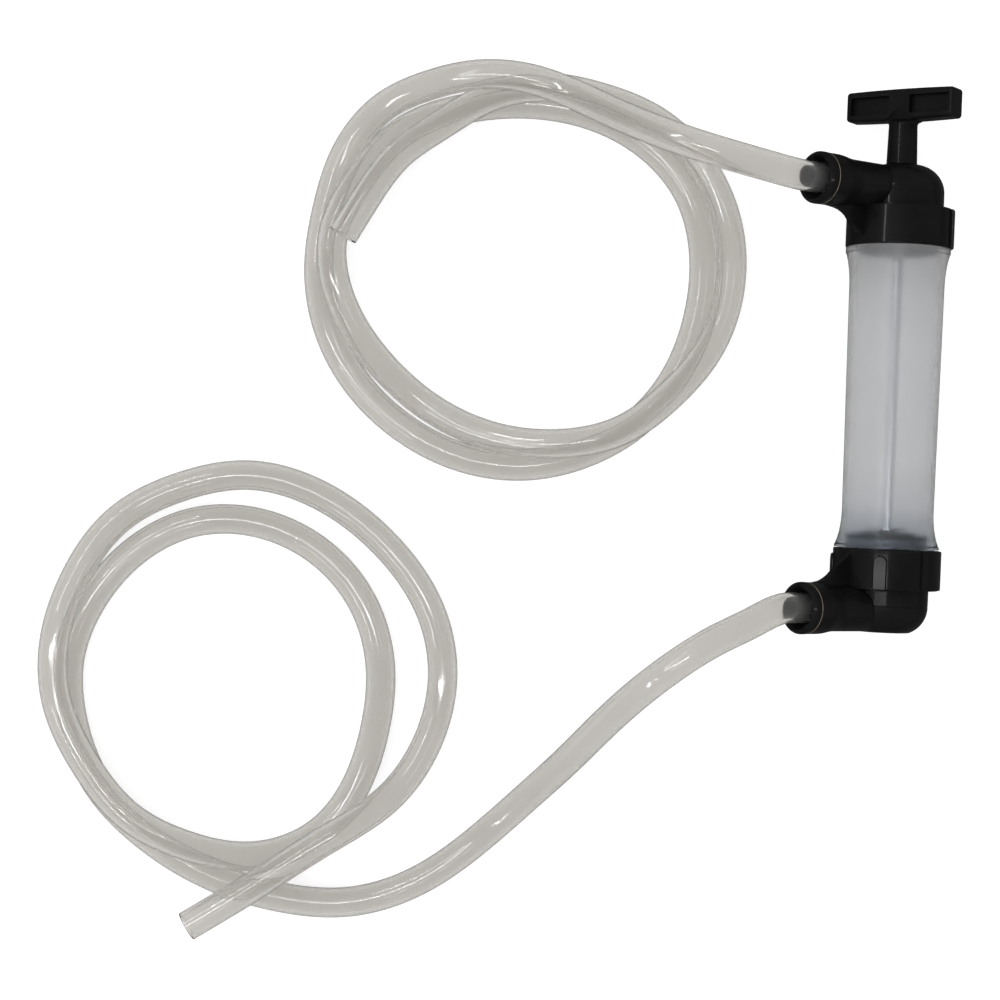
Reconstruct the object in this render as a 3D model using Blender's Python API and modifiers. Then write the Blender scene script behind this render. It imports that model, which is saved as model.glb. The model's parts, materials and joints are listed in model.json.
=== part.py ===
"""Hand-operated lift pump for gear oil, lying on its back with the plunger pushed in.

Everything but the hoses is built upright in the pump's own frame: Z runs up the pump's axis from the flat
foot of the bottom cap, and -Y is the side that faces up once the pump lies down.  An empty then lays the
pump down, so that in the world its axis runs along +Y and the ports lean up and to the left.
All sizes are in metres.
"""

import math

import bmesh
import bpy
import numpy as np
from mathutils import Matrix, Vector

# ---------------------------------------------------------------- sizes
FIT = 0.0003                    # clearance left between two pieces that touch
TURN_STEPS = 40                 # facets round the large turned pieces
SMALL_STEPS = 24                # facets round the small ones
HOLE_STEPS = 10                 # facets round small holes

# barrel
BORE_R = 0.0174
BARREL_BOTTOM_R = 0.0192        # outside radius of the straight run at its lower end
BARREL_TOP_R = 0.0199           # and at its upper end
BARREL_VISIBLE = 0.1271         # length seen between the two caps
NECK_R = 0.0198                 # end that goes into a cap
FLARE_BAND = 0.0009             # straight band of full radius beside each cap
FLARE_LENGTH = 0.0160           # curved fall from the band to the straight run
FLARE_POWER = 2.6
FLARE_STEP = 0.00025            # band lies this much inside the cap's skirt

# both caps
SKIRT_WALL = 0.0020
BOTTOM_SKIRT_HEIGHT = 0.0170
TOP_SKIRT_HEIGHT = 0.0166
BODY_R = 0.0183                 # narrower body beyond the skirt
BOTTOM_BODY_HEIGHT = 0.0171     # from the zero height
TOP_BODY_HEIGHT = 0.0185        # from the dome's top
BODY_WALL = 0.0028
DOME_ARC_R = 0.0120             # rounding of the closed end
EDGE = 0.0005                   # broken edges of the skirt
PAD_RISE = 0.0009               # grip pads and ribs stand out from the skirt by this
SOCKET_FLOOR_BOTTOM = 0.0220    # from the zero height to the ledge the barrel's stack seats on
SOCKET_FLOOR_TOP = 0.0253       # from the dome's top to that ledge
PORT_AZIMUTH = math.radians(52.5)   # from the front towards the left

# grip pads and ribs, as angles round the axis from the port
BOTTOM_PAD = (math.radians(85.0), math.radians(155.0))
TOP_PAD = (math.radians(116.5), math.radians(155.0))
RIB_ANGLE = math.radians(37.5)
RIB_WIDTH = 0.0057
RIB_HEIGHT = 0.0145

# ports
PORT_R = 0.0096
PORT_END = 0.0467               # from the pump's axis
PORT_COLLAR_R = 0.0107          # the tube widens to this towards its mouth
PORT_COLLAR_LENGTH = 0.0062
PORT_TAPER_LENGTH = 0.0095
PORT_BORE_R = 0.0077
PORT_BORE_DEPTH = 0.0130
PASSAGE_R = 0.0052
INLET_HEIGHT = 0.0088           # above the zero height
OUTLET_DROP = 0.0106            # below the dome's top
WEB_THICKNESS = 0.0024
# free edge of each web: distance from the pump's axis, and from the port's axis towards the skirt
BOTTOM_WEB_ROOT = 0.0229
BOTTOM_WEB_EDGE = [(0.0304, 0.0174), (0.0330, 0.0145), (0.0356, 0.0128), (0.0385, 0.0112)]
TOP_WEB_ROOT = 0.0216
TOP_WEB_EDGE = [(0.0298, 0.0165), (0.0308, 0.0148), (0.0328, 0.0132), (0.0354, 0.0119), (0.0388, 0.0112)]

# foot and foot valve
FOOT_R = 0.0110
FOOT_LEVEL = -0.0010            # the flat foot lies a little below the zero height
FOOT_WALL = 0.0030
SEAT_WEB = 0.0020
SEAT_HOLE_R = 0.0050
SEAT_LIP = 0.0004
SEAT_LIP_WIDTH = 0.0012
INLET_DISC_R = 0.0080
INLET_DISC_THICKNESS = 0.0020
INLET_DISC_LIFT = 0.0025
CAGE_THICKNESS = 0.0020
CAGE_WINDOW_R = 0.0026
CAGE_WINDOW_PITCH_R = 0.0112
CAGE_WINDOWS = 6

# gaskets
GASKET_THICKNESS = 0.0015

# hose connectors
FLANGE_R = 0.0108
FLANGE_THICKNESS = 0.0040
FLANGE_CHAMFER = 0.0014
WELL_DEPTH = 0.0090             # annular well that the hose end goes into
MOUTH_WIDTH = 0.0022            # the well opens out towards the flange face
MOUTH_DEPTH = 0.0030
NIPPLE_R = 0.0043
NIPPLE_TIP_R = 0.0039
NIPPLE_REACH = 0.0040           # past the flange face
NIPPLE_BORE_R = 0.0030
O_RING_WIRE_R = 0.0007
O_RING_GROOVE_DEPTH = 0.0014
O_RING_FROM_END = 0.0042        # groove centre from the plug's inner end

# hoses
HOSE_R = 0.00635
HOSE_BORE_R = 0.00475
HOSE_POINTS = 56

# plunger
ROD_R = 0.0025
ROD_THREAD_R = 0.0020
PISTON_TOP = 0.0390             # height of the piston's upper face above the zero height
HEAD_THICKNESS = 0.0045
HEAD_BOSS_R = 0.0042
HEAD_PORT_R = 0.0021
HEAD_PORT_PITCH_R = 0.0083
HEAD_PORTS = 6
SPIGOT_WALL = 0.0008            # of the head's spigot, round the ports
CUP_BASE = 0.0015
CUP_LIP_WALL = 0.0011
CUP_LIP_HEIGHT = 0.0052
LOWER_PLATE_THICKNESS = 0.0020
LOWER_PLATE_INSET = 0.0010
PISTON_DISC_R = 0.0115
PISTON_DISC_THICKNESS = 0.0010
PISTON_DISC_LIFT = 0.0012
STOP_WASHER_R = 0.0090
STOP_WASHER_THICKNESS = 0.0010
PISTON_WASHER_R = 0.0050
PISTON_WASHER_THICKNESS = 0.0008
NUT_ACROSS_FLATS = 0.0070
NUT_HEIGHT = 0.0030
ROD_END = 0.0008                # thread showing under the nut

# rod gland
GLAND_HUB_R = 0.0080
GLAND_HUB_DEPTH = 0.0120        # from the dome's top to the hub's lower end
GLAND_POCKET_R = 0.0060
GLAND_ROOF = 0.0050
ROD_SEAL_HEIGHT = 0.0030
GLAND_RETAINER_HEIGHT = 0.0028

# handle
STEM_HEIGHT = 0.0183
STEM_BOTTOM_R = 0.00645
STEM_TOP_R = 0.0060
STEM_FILLET = 0.0020
BAR_LENGTH = 0.0494
BAR_HEIGHT = 0.0133             # at its middle
BAR_CROWN = 0.00045             # its upper and lower faces fall by this towards each end
BAR_DEPTH = 0.0100
BAR_ROUNDING = 0.0015
BAR_TURN = math.radians(35.0)
POCKET_FRAME = 0.0022
POCKET_HEIGHT = 0.0076
POCKET_DEPTH = 0.0030
BAR_BOSS_WIDTH = 0.0094
ROD_IN_BAR = 0.0060             # the rod's end above the bar's lower face

# ---------------------------------------------------------------- places worked out from them
SOCKET_R = NECK_R + FIT + 0.0001
SKIRT_R = SOCKET_R + SKIRT_WALL
PAD_R = SKIRT_R + PAD_RISE
FLARE_R = SKIRT_R - FLARE_STEP
BOTTOM_CAP_HEIGHT = BOTTOM_BODY_HEIGHT + BOTTOM_SKIRT_HEIGHT
TOP_CAP_HEIGHT = TOP_BODY_HEIGHT + TOP_SKIRT_HEIGHT
CHAMBER_R = BODY_R - BODY_WALL

STEP_BOTTOM = BOTTOM_CAP_HEIGHT                 # where the barrel comes out of the bottom cap
STEP_TOP = STEP_BOTTOM + BARREL_VISIBLE         # and where it goes into the top cap
DOME_TOP = STEP_TOP + TOP_CAP_HEIGHT
OUTLET_HEIGHT = DOME_TOP - OUTLET_DROP

CAGE_BOTTOM = SOCKET_FLOOR_BOTTOM + FIT
BOTTOM_GASKET = CAGE_BOTTOM + CAGE_THICKNESS + FIT
BARREL_BOTTOM = BOTTOM_GASKET + GASKET_THICKNESS + FIT
BARREL_TOP = DOME_TOP - SOCKET_FLOOR_TOP - FIT - GASKET_THICKNESS - FIT
TOP_GASKET = BARREL_TOP + FIT
SEAT_TOP = SOCKET_FLOOR_BOTTOM - FIT - INLET_DISC_LIFT - INLET_DISC_THICKNESS
INLET_DISC_BOTTOM = SEAT_TOP + FIT

PLUG_R = PORT_BORE_R - FIT
FLANGE_BACK = PORT_END + FIT
FLANGE_FACE = FLANGE_BACK + FLANGE_THICKNESS
PLUG_END = PORT_END - PORT_BORE_DEPTH + FIT
WELL_FLOOR = FLANGE_FACE - WELL_DEPTH
WELL_R = HOSE_R + FIT
HOSE_START = WELL_FLOOR + FIT
O_RING_AT = PLUG_END + O_RING_FROM_END

PISTON_HOLE_R = ROD_THREAD_R + FIT
ROD_HOLE_R = ROD_R + FIT
CUP_R = BORE_R - FIT
HEAD_R = CUP_R - CUP_LIP_WALL - FIT
SPIGOT_R = HEAD_PORT_PITCH_R + HEAD_PORT_R + SPIGOT_WALL
CUP_TOP_OF_BASE = PISTON_TOP - HEAD_THICKNESS - FIT
CUP_BOTTOM = CUP_TOP_OF_BASE - CUP_BASE
LOWER_PLATE_TOP = CUP_BOTTOM - FIT
LOWER_PLATE_BOTTOM = LOWER_PLATE_TOP - LOWER_PLATE_THICKNESS
PISTON_WASHER_TOP = LOWER_PLATE_BOTTOM - FIT
NUT_TOP = PISTON_WASHER_TOP - PISTON_WASHER_THICKNESS - FIT
ROD_BOTTOM = NUT_TOP - NUT_HEIGHT - ROD_END
PISTON_DISC_BOTTOM = PISTON_TOP + FIT
BOSS_TOP = PISTON_DISC_BOTTOM + PISTON_DISC_THICKNESS + PISTON_DISC_LIFT
STOP_WASHER_BOTTOM = BOSS_TOP + FIT
ROD_SHOULDER = STOP_WASHER_BOTTOM + STOP_WASHER_THICKNESS + FIT

STEM_BOTTOM = DOME_TOP + FIT
BAR_BOTTOM = STEM_BOTTOM + STEM_HEIGHT
BAR_TOP = BAR_BOTTOM + BAR_HEIGHT
ROD_TOP = BAR_BOTTOM + ROD_IN_BAR


# ---------------------------------------------------------------- scene and materials
def clear_scene():
    for obj in list(bpy.data.objects):
        bpy.data.objects.remove(obj, do_unlink=True)


def new_collection(name):
    collection = bpy.data.collections.new(name)
    bpy.context.scene.collection.children.link(collection)
    return collection


def material(name, color, roughness, metallic=0.0, transmission=0.0):
    made = bpy.data.materials.new(name)
    made.use_nodes = True
    shader = made.node_tree.nodes["Principled BSDF"]
    shader.inputs["Base Color"].default_value = (*color, 1.0)
    shader.inputs["Roughness"].default_value = roughness
    shader.inputs["Metallic"].default_value = metallic
    shader.inputs["Transmission Weight"].default_value = transmission
    return made


# ---------------------------------------------------------------- shape helpers
def add(obj, collection, parent=None):
    """Links an object, hangs it under its parent and shades its round faces smooth."""
    collection.objects.link(obj)
    obj.parent = parent
    return obj


def as_cutter(obj):
    """Marks a tool of a Boolean: it isn't a piece of the pump."""
    obj.hide_render = True
    obj.display_type = "WIRE"
    return obj


def arc(center, radius, start, end, count):
    """Points on an arc in the (radius, height) plane; angles in degrees, 0 is outward and 90 is up."""
    angles = np.radians(np.linspace(start, end, count))
    return [(center[0] + radius * math.cos(a), center[1] + radius * math.sin(a)) for a in angles]


def turned(name, profile, steps, closed=True, sweep=2.0 * math.pi):
    """A profile of (radius, height) points, top to bottom on its outer side, turned about Z."""
    mesh = bpy.data.meshes.new(name)
    edges = [(i, i + 1) for i in range(len(profile) - 1)]
    if closed:
        edges.append((len(profile) - 1, 0))
    mesh.from_pydata([(r, 0.0, z) for r, z in profile], edges, [])
    obj = bpy.data.objects.new(name, mesh)
    screw = obj.modifiers.new("turn", "SCREW")
    screw.angle = sweep
    screw.steps = steps
    screw.render_steps = steps
    screw.use_merge_vertices = True
    screw.merge_threshold = 0.00001
    return obj


def ring(name, inner, outer, bottom, top, steps):
    """A flat ring or a short sleeve."""
    return turned(name, [(inner, top), (outer, top), (outer, bottom), (inner, bottom)], steps)


def cylinder(name, radius, start, end, steps):
    """A closed cylinder about Z from start to end."""
    mesh = bpy.data.meshes.new(name)
    shape = bmesh.new()
    middle = Matrix.Translation((0.0, 0.0, (start + end) / 2.0))
    bmesh.ops.create_cone(shape, cap_ends=True, segments=steps, radius1=radius, radius2=radius,
                          depth=end - start, matrix=middle)
    shape.to_mesh(mesh)
    shape.free()
    return bpy.data.objects.new(name, mesh)


def curve_to_mesh(curve_object, weld):
    """The curve's evaluated shape as an ordinary mesh object, its caps welded on."""
    bpy.context.scene.collection.objects.link(curve_object)
    bpy.context.view_layer.update()
    depsgraph = bpy.context.evaluated_depsgraph_get()
    mesh = bpy.data.meshes.new_from_object(curve_object.evaluated_get(depsgraph))
    name = curve_object.name
    placed = curve_object.matrix_world.copy()
    bpy.data.objects.remove(curve_object, do_unlink=True)
    shape = bmesh.new()
    shape.from_mesh(mesh)
    bmesh.ops.remove_doubles(shape, verts=shape.verts, dist=weld)
    bmesh.ops.recalc_face_normals(shape, faces=shape.faces)
    shape.to_mesh(mesh)
    shape.free()
    mesh.name = name
    obj = bpy.data.objects.new(name, mesh)
    obj.matrix_world = placed
    return obj


def plate(name, outline, thickness):
    """A flat outline in XY, extruded to a thickness centred on Z = 0."""
    curve = bpy.data.curves.new(name, "CURVE")
    curve.dimensions = "2D"
    curve.fill_mode = "BOTH"
    curve.extrude = thickness / 2.0
    spline = curve.splines.new("POLY")
    spline.points.add(len(outline) - 1)
    for point, (x, y) in zip(spline.points, outline):
        point.co = (x, y, 0.0, 1.0)
    spline.use_cyclic_u = True
    return curve_to_mesh(bpy.data.objects.new(name, curve), 0.000001)


def boolean(obj, operation, tool):
    made = obj.modifiers.new(tool.name, "BOOLEAN")
    made.operation = operation
    made.solver = "EXACT"
    made.object = tool
    return made


def finish(obj, finish_material):
    """Gives a piece its material and smooth shading with sharp edges kept."""
    obj.data.materials.clear()
    obj.data.materials.append(finish_material)
    for modifier in obj.modifiers:
        if modifier.type == "SCREW":
            modifier.use_smooth_shade = True
    for polygon in obj.data.polygons:
        polygon.use_smooth = True
    return obj


def about_port(height):
    """Frame of a port: Z runs out along the port from the pump's axis."""
    out = Vector((-math.sin(PORT_AZIMUTH), -math.cos(PORT_AZIMUTH), 0.0))
    up = Vector((0.0, 0.0, 1.0))
    side = up.cross(out)
    frame = Matrix((up, side, out)).transposed().to_4x4()
    frame.translation = (0.0, 0.0, height)
    return frame


# ---------------------------------------------------------------- caps
def cap_frame(flipped, height):
    """A cap's own frame: +X towards its port, +Z from its closed end to its open end."""
    turn = Matrix.Rotation(-math.pi / 2.0 - PORT_AZIMUTH, 4, "Z")
    if flipped:
        turn = turn @ Matrix.Rotation(math.pi, 4, "X")
    return Matrix.Translation((0.0, 0.0, height)) @ turn


def cap_shell(name, body_height, cap_height, closed_end):
    """Body and skirt of a cap as one solid of revolution, closed end down."""
    profile = [(0.0, cap_height), (SKIRT_R - EDGE, cap_height), (SKIRT_R, cap_height - EDGE),
               (SKIRT_R, body_height + EDGE), (SKIRT_R - EDGE, body_height), (BODY_R, body_height)]
    profile += closed_end
    return turned(name, profile, TURN_STEPS, closed=False)


def grip_pad(name, span, body_height, cap_height):
    """A raised sector of the skirt, between two angles."""
    low = body_height + EDGE / 2.0
    high = cap_height - EDGE / 2.0
    inner = SKIRT_R - SKIRT_WALL / 2.0
    profile = [(inner, high), (PAD_R - EDGE, high), (PAD_R, high - EDGE), (PAD_R, low + EDGE),
               (PAD_R - EDGE, low), (inner, low)]
    steps = max(4, round(TURN_STEPS * (span[1] - span[0]) / (2.0 * math.pi)))
    pad = turned(name, profile, steps, sweep=span[1] - span[0])
    pad.rotation_euler = (0.0, 0.0, span[0])
    return pad


def closed_sector(pad):
    """Fills the two open ends of a part-turned profile."""
    bpy.context.scene.collection.objects.link(pad)
    bpy.context.view_layer.update()
    depsgraph = bpy.context.evaluated_depsgraph_get()
    mesh = bpy.data.meshes.new_from_object(pad.evaluated_get(depsgraph))
    turn = pad.rotation_euler.copy()
    name = pad.name
    bpy.data.objects.remove(pad, do_unlink=True)
    shape = bmesh.new()
    shape.from_mesh(mesh)
    bmesh.ops.holes_fill(shape, edges=shape.edges, sides=0)
    bmesh.ops.recalc_face_normals(shape, faces=shape.faces)
    shape.to_mesh(mesh)
    shape.free()
    made = bpy.data.objects.new(name, mesh)
    made.rotation_euler = turn
    return made


def capsule_rib(name, angle):
    """A rib with a round upper end, standing out from the skirt."""
    half = RIB_WIDTH / 2.0
    start = BOTTOM_BODY_HEIGHT
    end = BOTTOM_BODY_HEIGHT + RIB_HEIGHT - half
    outline = [(start, -half), (end, -half)]
    outline += [(end + half * math.cos(a), half * math.sin(a)) for a in np.radians(np.linspace(-75, 75, 8))]
    outline += [(end, half), (start, half)]
    inner = SKIRT_R - SKIRT_WALL / 2.0
    rib = plate(name, outline, PAD_R - inner)
    upright = Matrix(((0, 0, 1, 0), (0, -1, 0, 0), (1, 0, 0, 0), (0, 0, 0, 1)))
    rib.matrix_world = (Matrix.Rotation(angle, 4, "Z")
                        @ Matrix.Translation(((PAD_R + inner) / 2.0, 0.0, 0.0)) @ upright)
    return rib


def gusset(name, rise, edge, port_height):
    """The web between the skirt and the port's collar, drawn in the plane of the port and the axis."""
    root = CHAMBER_R
    edge = [(SKIRT_R - EDGE, rise)] + edge + [(PORT_END - EDGE, PORT_COLLAR_R - FIT)]
    edge = [(r, port_height + away) for r, away in edge]
    outline = [(root, port_height)] + [(edge[-1][0], port_height)] + list(reversed(edge)) + [(root, edge[0][1])]
    web = plate(name, outline, WEB_THICKNESS)
    web.matrix_world = Matrix.Rotation(math.pi / 2.0, 4, "X")
    return web


def port_tube(name, height):
    """Outside of a port: a round tube that widens to a collar at its mouth."""
    collar = PORT_END - PORT_COLLAR_LENGTH
    profile = [(0.0, PORT_END), (PORT_COLLAR_R, PORT_END), (PORT_COLLAR_R, collar),
               (PORT_R, collar - PORT_TAPER_LENGTH), (PORT_R, CHAMBER_R / 2.0), (0.0, CHAMBER_R / 2.0)]
    tube = turned(name, profile, SMALL_STEPS, closed=False)
    tube.matrix_world = Matrix.Translation((0.0, 0.0, height)) @ Matrix.Rotation(math.pi / 2.0, 4, "Y")
    return tube


def port_bore(name, height):
    """Stepped hole of a port: the connector's bore, then a narrower passage to the chamber."""
    shoulder = PORT_END - PORT_BORE_DEPTH
    past = PORT_END + PORT_R
    profile = [(0.0, past), (PORT_BORE_R, past), (PORT_BORE_R, shoulder), (PASSAGE_R, shoulder),
               (PASSAGE_R, CHAMBER_R / 2.0), (0.0, CHAMBER_R / 2.0)]
    bore = turned(name, profile, SMALL_STEPS, closed=False)
    bore.matrix_world = Matrix.Translation((0.0, 0.0, height)) @ Matrix.Rotation(math.pi / 2.0, 4, "Y")
    return bore


def build_cap(name, shell, extras, cutters, frame, kit):
    """Joins a cap's raised features to its shell, then cuts its hollows."""
    shell.name = name
    add(shell, kit["pieces"], kit["root"])
    shell.matrix_local = frame
    for tool, operation in [(t, "UNION") for t in extras] + [(t, "DIFFERENCE") for t in cutters]:
        placed = tool.matrix_world.copy() if tool.matrix_world != Matrix() else tool.matrix_basis.copy()
        add(tool, kit["cutters"], kit["root"])
        tool.matrix_local = frame @ placed
        as_cutter(tool)
        boolean(shell, operation, tool)
    return finish(shell, kit["black"])


def bottom_cap(kit):
    rise = math.sqrt(DOME_ARC_R ** 2 - (FOOT_R - BODY_R + DOME_ARC_R) ** 2)
    center = (BODY_R - DOME_ARC_R, FOOT_LEVEL + rise)
    foot_angle = -math.degrees(math.asin(rise / DOME_ARC_R))
    closed_end = arc(center, DOME_ARC_R, 0.0, foot_angle, 6) + [(0.0, FOOT_LEVEL)]
    shell = cap_shell("bottom_cap", BOTTOM_BODY_HEIGHT, BOTTOM_CAP_HEIGHT, closed_end)

    extras = [port_tube("bottom_port_tube", INLET_HEIGHT),
              gusset("bottom_web", BOTTOM_WEB_ROOT, BOTTOM_WEB_EDGE, INLET_HEIGHT)]
    for side, label in ((1.0, "left"), (-1.0, "right")):
        low, high = sorted((side * BOTTOM_PAD[0], side * BOTTOM_PAD[1]))
        pad = grip_pad("bottom_pad_" + label, (low, high), BOTTOM_BODY_HEIGHT, BOTTOM_CAP_HEIGHT)
        extras.append(closed_sector(pad))
        extras.append(capsule_rib("bottom_rib_" + label, side * RIB_ANGLE))

    inner_arc = DOME_ARC_R - BODY_WALL
    floor = FOOT_LEVEL + FOOT_WALL
    floor_angle = -math.degrees(math.asin((center[1] - floor) / inner_arc))
    chamber_top = SEAT_TOP - SEAT_WEB
    chamber = [(0.0, chamber_top), (CHAMBER_R, chamber_top)]
    chamber += arc(center, inner_arc, 0.0, floor_angle, 4) + [(0.0, floor)]
    above = BOTTOM_CAP_HEIGHT + SKIRT_WALL
    lip_r = SEAT_HOLE_R + SEAT_LIP_WIDTH
    socket = [(0.0, above), (SOCKET_R, above), (SOCKET_R, SOCKET_FLOOR_BOTTOM), (CHAMBER_R, SOCKET_FLOOR_BOTTOM),
              (CHAMBER_R, SEAT_TOP - SEAT_LIP), (lip_r, SEAT_TOP - SEAT_LIP), (lip_r, SEAT_TOP),
              (SEAT_HOLE_R, SEAT_TOP), (SEAT_HOLE_R, chamber_top - SEAT_LIP), (0.0, chamber_top - SEAT_LIP)]
    cutters = [turned("bottom_chamber", chamber, TURN_STEPS, closed=False),
               turned("bottom_socket", socket, TURN_STEPS, closed=False),
               port_bore("bottom_port_bore", INLET_HEIGHT)]
    return build_cap("bottom_cap", shell, extras, cutters, cap_frame(False, 0.0), kit)


def top_cap(kit):
    center = (BODY_R - DOME_ARC_R, DOME_ARC_R)
    dome = arc(center, DOME_ARC_R, 0.0, -90.0, 7) + [(0.0, 0.0)]
    shell = cap_shell("top_cap", TOP_BODY_HEIGHT, TOP_CAP_HEIGHT, dome)

    extras = [port_tube("top_port_tube", OUTLET_DROP),
              gusset("top_web", TOP_WEB_ROOT, TOP_WEB_EDGE, OUTLET_DROP)]
    for side, label in ((1.0, "left"), (-1.0, "right")):
        low, high = sorted((side * TOP_PAD[0], side * TOP_PAD[1]))
        pad = grip_pad("top_pad_" + label, (low, high), TOP_BODY_HEIGHT, TOP_CAP_HEIGHT)
        extras.append(closed_sector(pad))

    # one cavity from the socket up to the dome, round the hub that holds the rod seal
    inner_arc = DOME_ARC_R - BODY_WALL
    hub_angle = -math.degrees(math.acos((GLAND_HUB_R - center[0]) / inner_arc))
    above = TOP_CAP_HEIGHT + SKIRT_WALL
    cavity = [(0.0, above), (SOCKET_R, above), (SOCKET_R, SOCKET_FLOOR_TOP), (CHAMBER_R, SOCKET_FLOOR_TOP)]
    cavity += arc(center, inner_arc, 0.0, hub_angle, 4)
    cavity += [(GLAND_HUB_R, GLAND_HUB_DEPTH), (0.0, GLAND_HUB_DEPTH)]
    gland = [(0.0, GLAND_HUB_DEPTH + SKIRT_WALL), (GLAND_POCKET_R, GLAND_HUB_DEPTH + SKIRT_WALL),
             (GLAND_POCKET_R, GLAND_ROOF), (ROD_HOLE_R, GLAND_ROOF), (ROD_HOLE_R, -GLAND_ROOF),
             (0.0, -GLAND_ROOF)]
    cutters = [turned("top_cavity", cavity, TURN_STEPS, closed=False),
               turned("top_gland_hole", gland, SMALL_STEPS, closed=False),
               port_bore("top_port_bore", OUTLET_DROP)]
    return build_cap("top_cap", shell, extras, cutters, cap_frame(True, DOME_TOP), kit)


# ---------------------------------------------------------------- barrel and its seals
def flare(outer, run, ends_at, direction):
    """Outer side of one flared end, from the band down to the straight run."""
    points = [(outer, ends_at)]
    for share in np.linspace(0.0, 1.0, 6):
        radius = run + (outer - run) * (1.0 - share) ** FLARE_POWER
        points.append((radius, ends_at + direction * (FLARE_BAND + share * FLARE_LENGTH)))
    return points


def barrel(kit):
    top_flare = flare(FLARE_R, BARREL_TOP_R, STEP_TOP - FIT, -1.0)
    bottom_flare = flare(FLARE_R, BARREL_BOTTOM_R, STEP_BOTTOM + FIT, 1.0)
    profile = [(BORE_R, BARREL_TOP), (NECK_R, BARREL_TOP), (NECK_R, STEP_TOP - FIT)]
    profile += top_flare
    profile += list(reversed(bottom_flare))
    profile += [(NECK_R, STEP_BOTTOM + FIT), (NECK_R, BARREL_BOTTOM), (BORE_R, BARREL_BOTTOM)]
    tube = add(turned("barrel", profile, TURN_STEPS), kit["pieces"], kit["root"])
    return finish(tube, kit["frosted"])


def gaskets(kit):
    inner = BORE_R + FIT
    bottom = ring("bottom_barrel_gasket", inner, NECK_R, BOTTOM_GASKET, BARREL_BOTTOM - FIT, TURN_STEPS)
    top = ring("top_barrel_gasket", inner, NECK_R, TOP_GASKET, TOP_GASKET + GASKET_THICKNESS, TURN_STEPS)
    for seal in (bottom, top):
        finish(add(seal, kit["pieces"], kit["root"]), kit["rubber"])


# ---------------------------------------------------------------- foot valve
def inlet_valve(kit):
    disc = cylinder("inlet_valve_disc", INLET_DISC_R, INLET_DISC_BOTTOM,
                    INLET_DISC_BOTTOM + INLET_DISC_THICKNESS, SMALL_STEPS)
    finish(add(disc, kit["pieces"], kit["root"]), kit["rubber"])

    cage = cylinder("inlet_valve_cage", NECK_R, CAGE_BOTTOM, CAGE_BOTTOM + CAGE_THICKNESS, TURN_STEPS)
    finish(add(cage, kit["pieces"], kit["root"]), kit["black"])
    for index in range(CAGE_WINDOWS):
        angle = 2.0 * math.pi * index / CAGE_WINDOWS
        window = cylinder("cage_window_%d" % index, CAGE_WINDOW_R, SOCKET_FLOOR_BOTTOM - SKIRT_WALL,
                          BOTTOM_GASKET + SKIRT_WALL, HOLE_STEPS)
        add(as_cutter(window), kit["cutters"], kit["root"])
        window.location = (CAGE_WINDOW_PITCH_R * math.cos(angle), CAGE_WINDOW_PITCH_R * math.sin(angle), 0.0)
        boolean(cage, "DIFFERENCE", window)


# ---------------------------------------------------------------- hose connectors
def connector(kit, name, height):
    """Flanged plug with a well for the hose and a nipple in its middle, sealed by an O-ring."""
    groove_low = O_RING_AT - O_RING_WIRE_R - FIT
    groove_high = O_RING_AT + O_RING_WIRE_R + FIT
    groove_r = PLUG_R - O_RING_GROOVE_DEPTH
    tip = FLANGE_FACE + NIPPLE_REACH
    profile = [(NIPPLE_BORE_R, tip), (NIPPLE_TIP_R, tip), (NIPPLE_R, FLANGE_FACE), (NIPPLE_R, WELL_FLOOR),
               (WELL_R, WELL_FLOOR), (WELL_R, FLANGE_FACE - MOUTH_DEPTH), (WELL_R + MOUTH_WIDTH, FLANGE_FACE),
               (FLANGE_R - FLANGE_CHAMFER, FLANGE_FACE), (FLANGE_R, FLANGE_FACE - FLANGE_CHAMFER),
               (FLANGE_R, FLANGE_BACK), (PLUG_R, FLANGE_BACK), (PLUG_R, groove_high), (groove_r, groove_high),
               (groove_r, groove_low), (PLUG_R, groove_low), (PLUG_R, PLUG_END), (NIPPLE_BORE_R, PLUG_END)]
    body = add(turned(name, profile, SMALL_STEPS), kit["pieces"], kit["root"])
    body.matrix_local = about_port(height)
    finish(body, kit["black"])

    wire = arc((PORT_BORE_R - FIT / 2.0 - O_RING_WIRE_R, O_RING_AT), O_RING_WIRE_R, 90.0, -198.0, 5)
    seal = add(turned(name + "_o_ring", wire, 20), kit["pieces"], kit["root"])
    seal.matrix_local = about_port(height)
    finish(seal, kit["rubber"])


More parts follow.
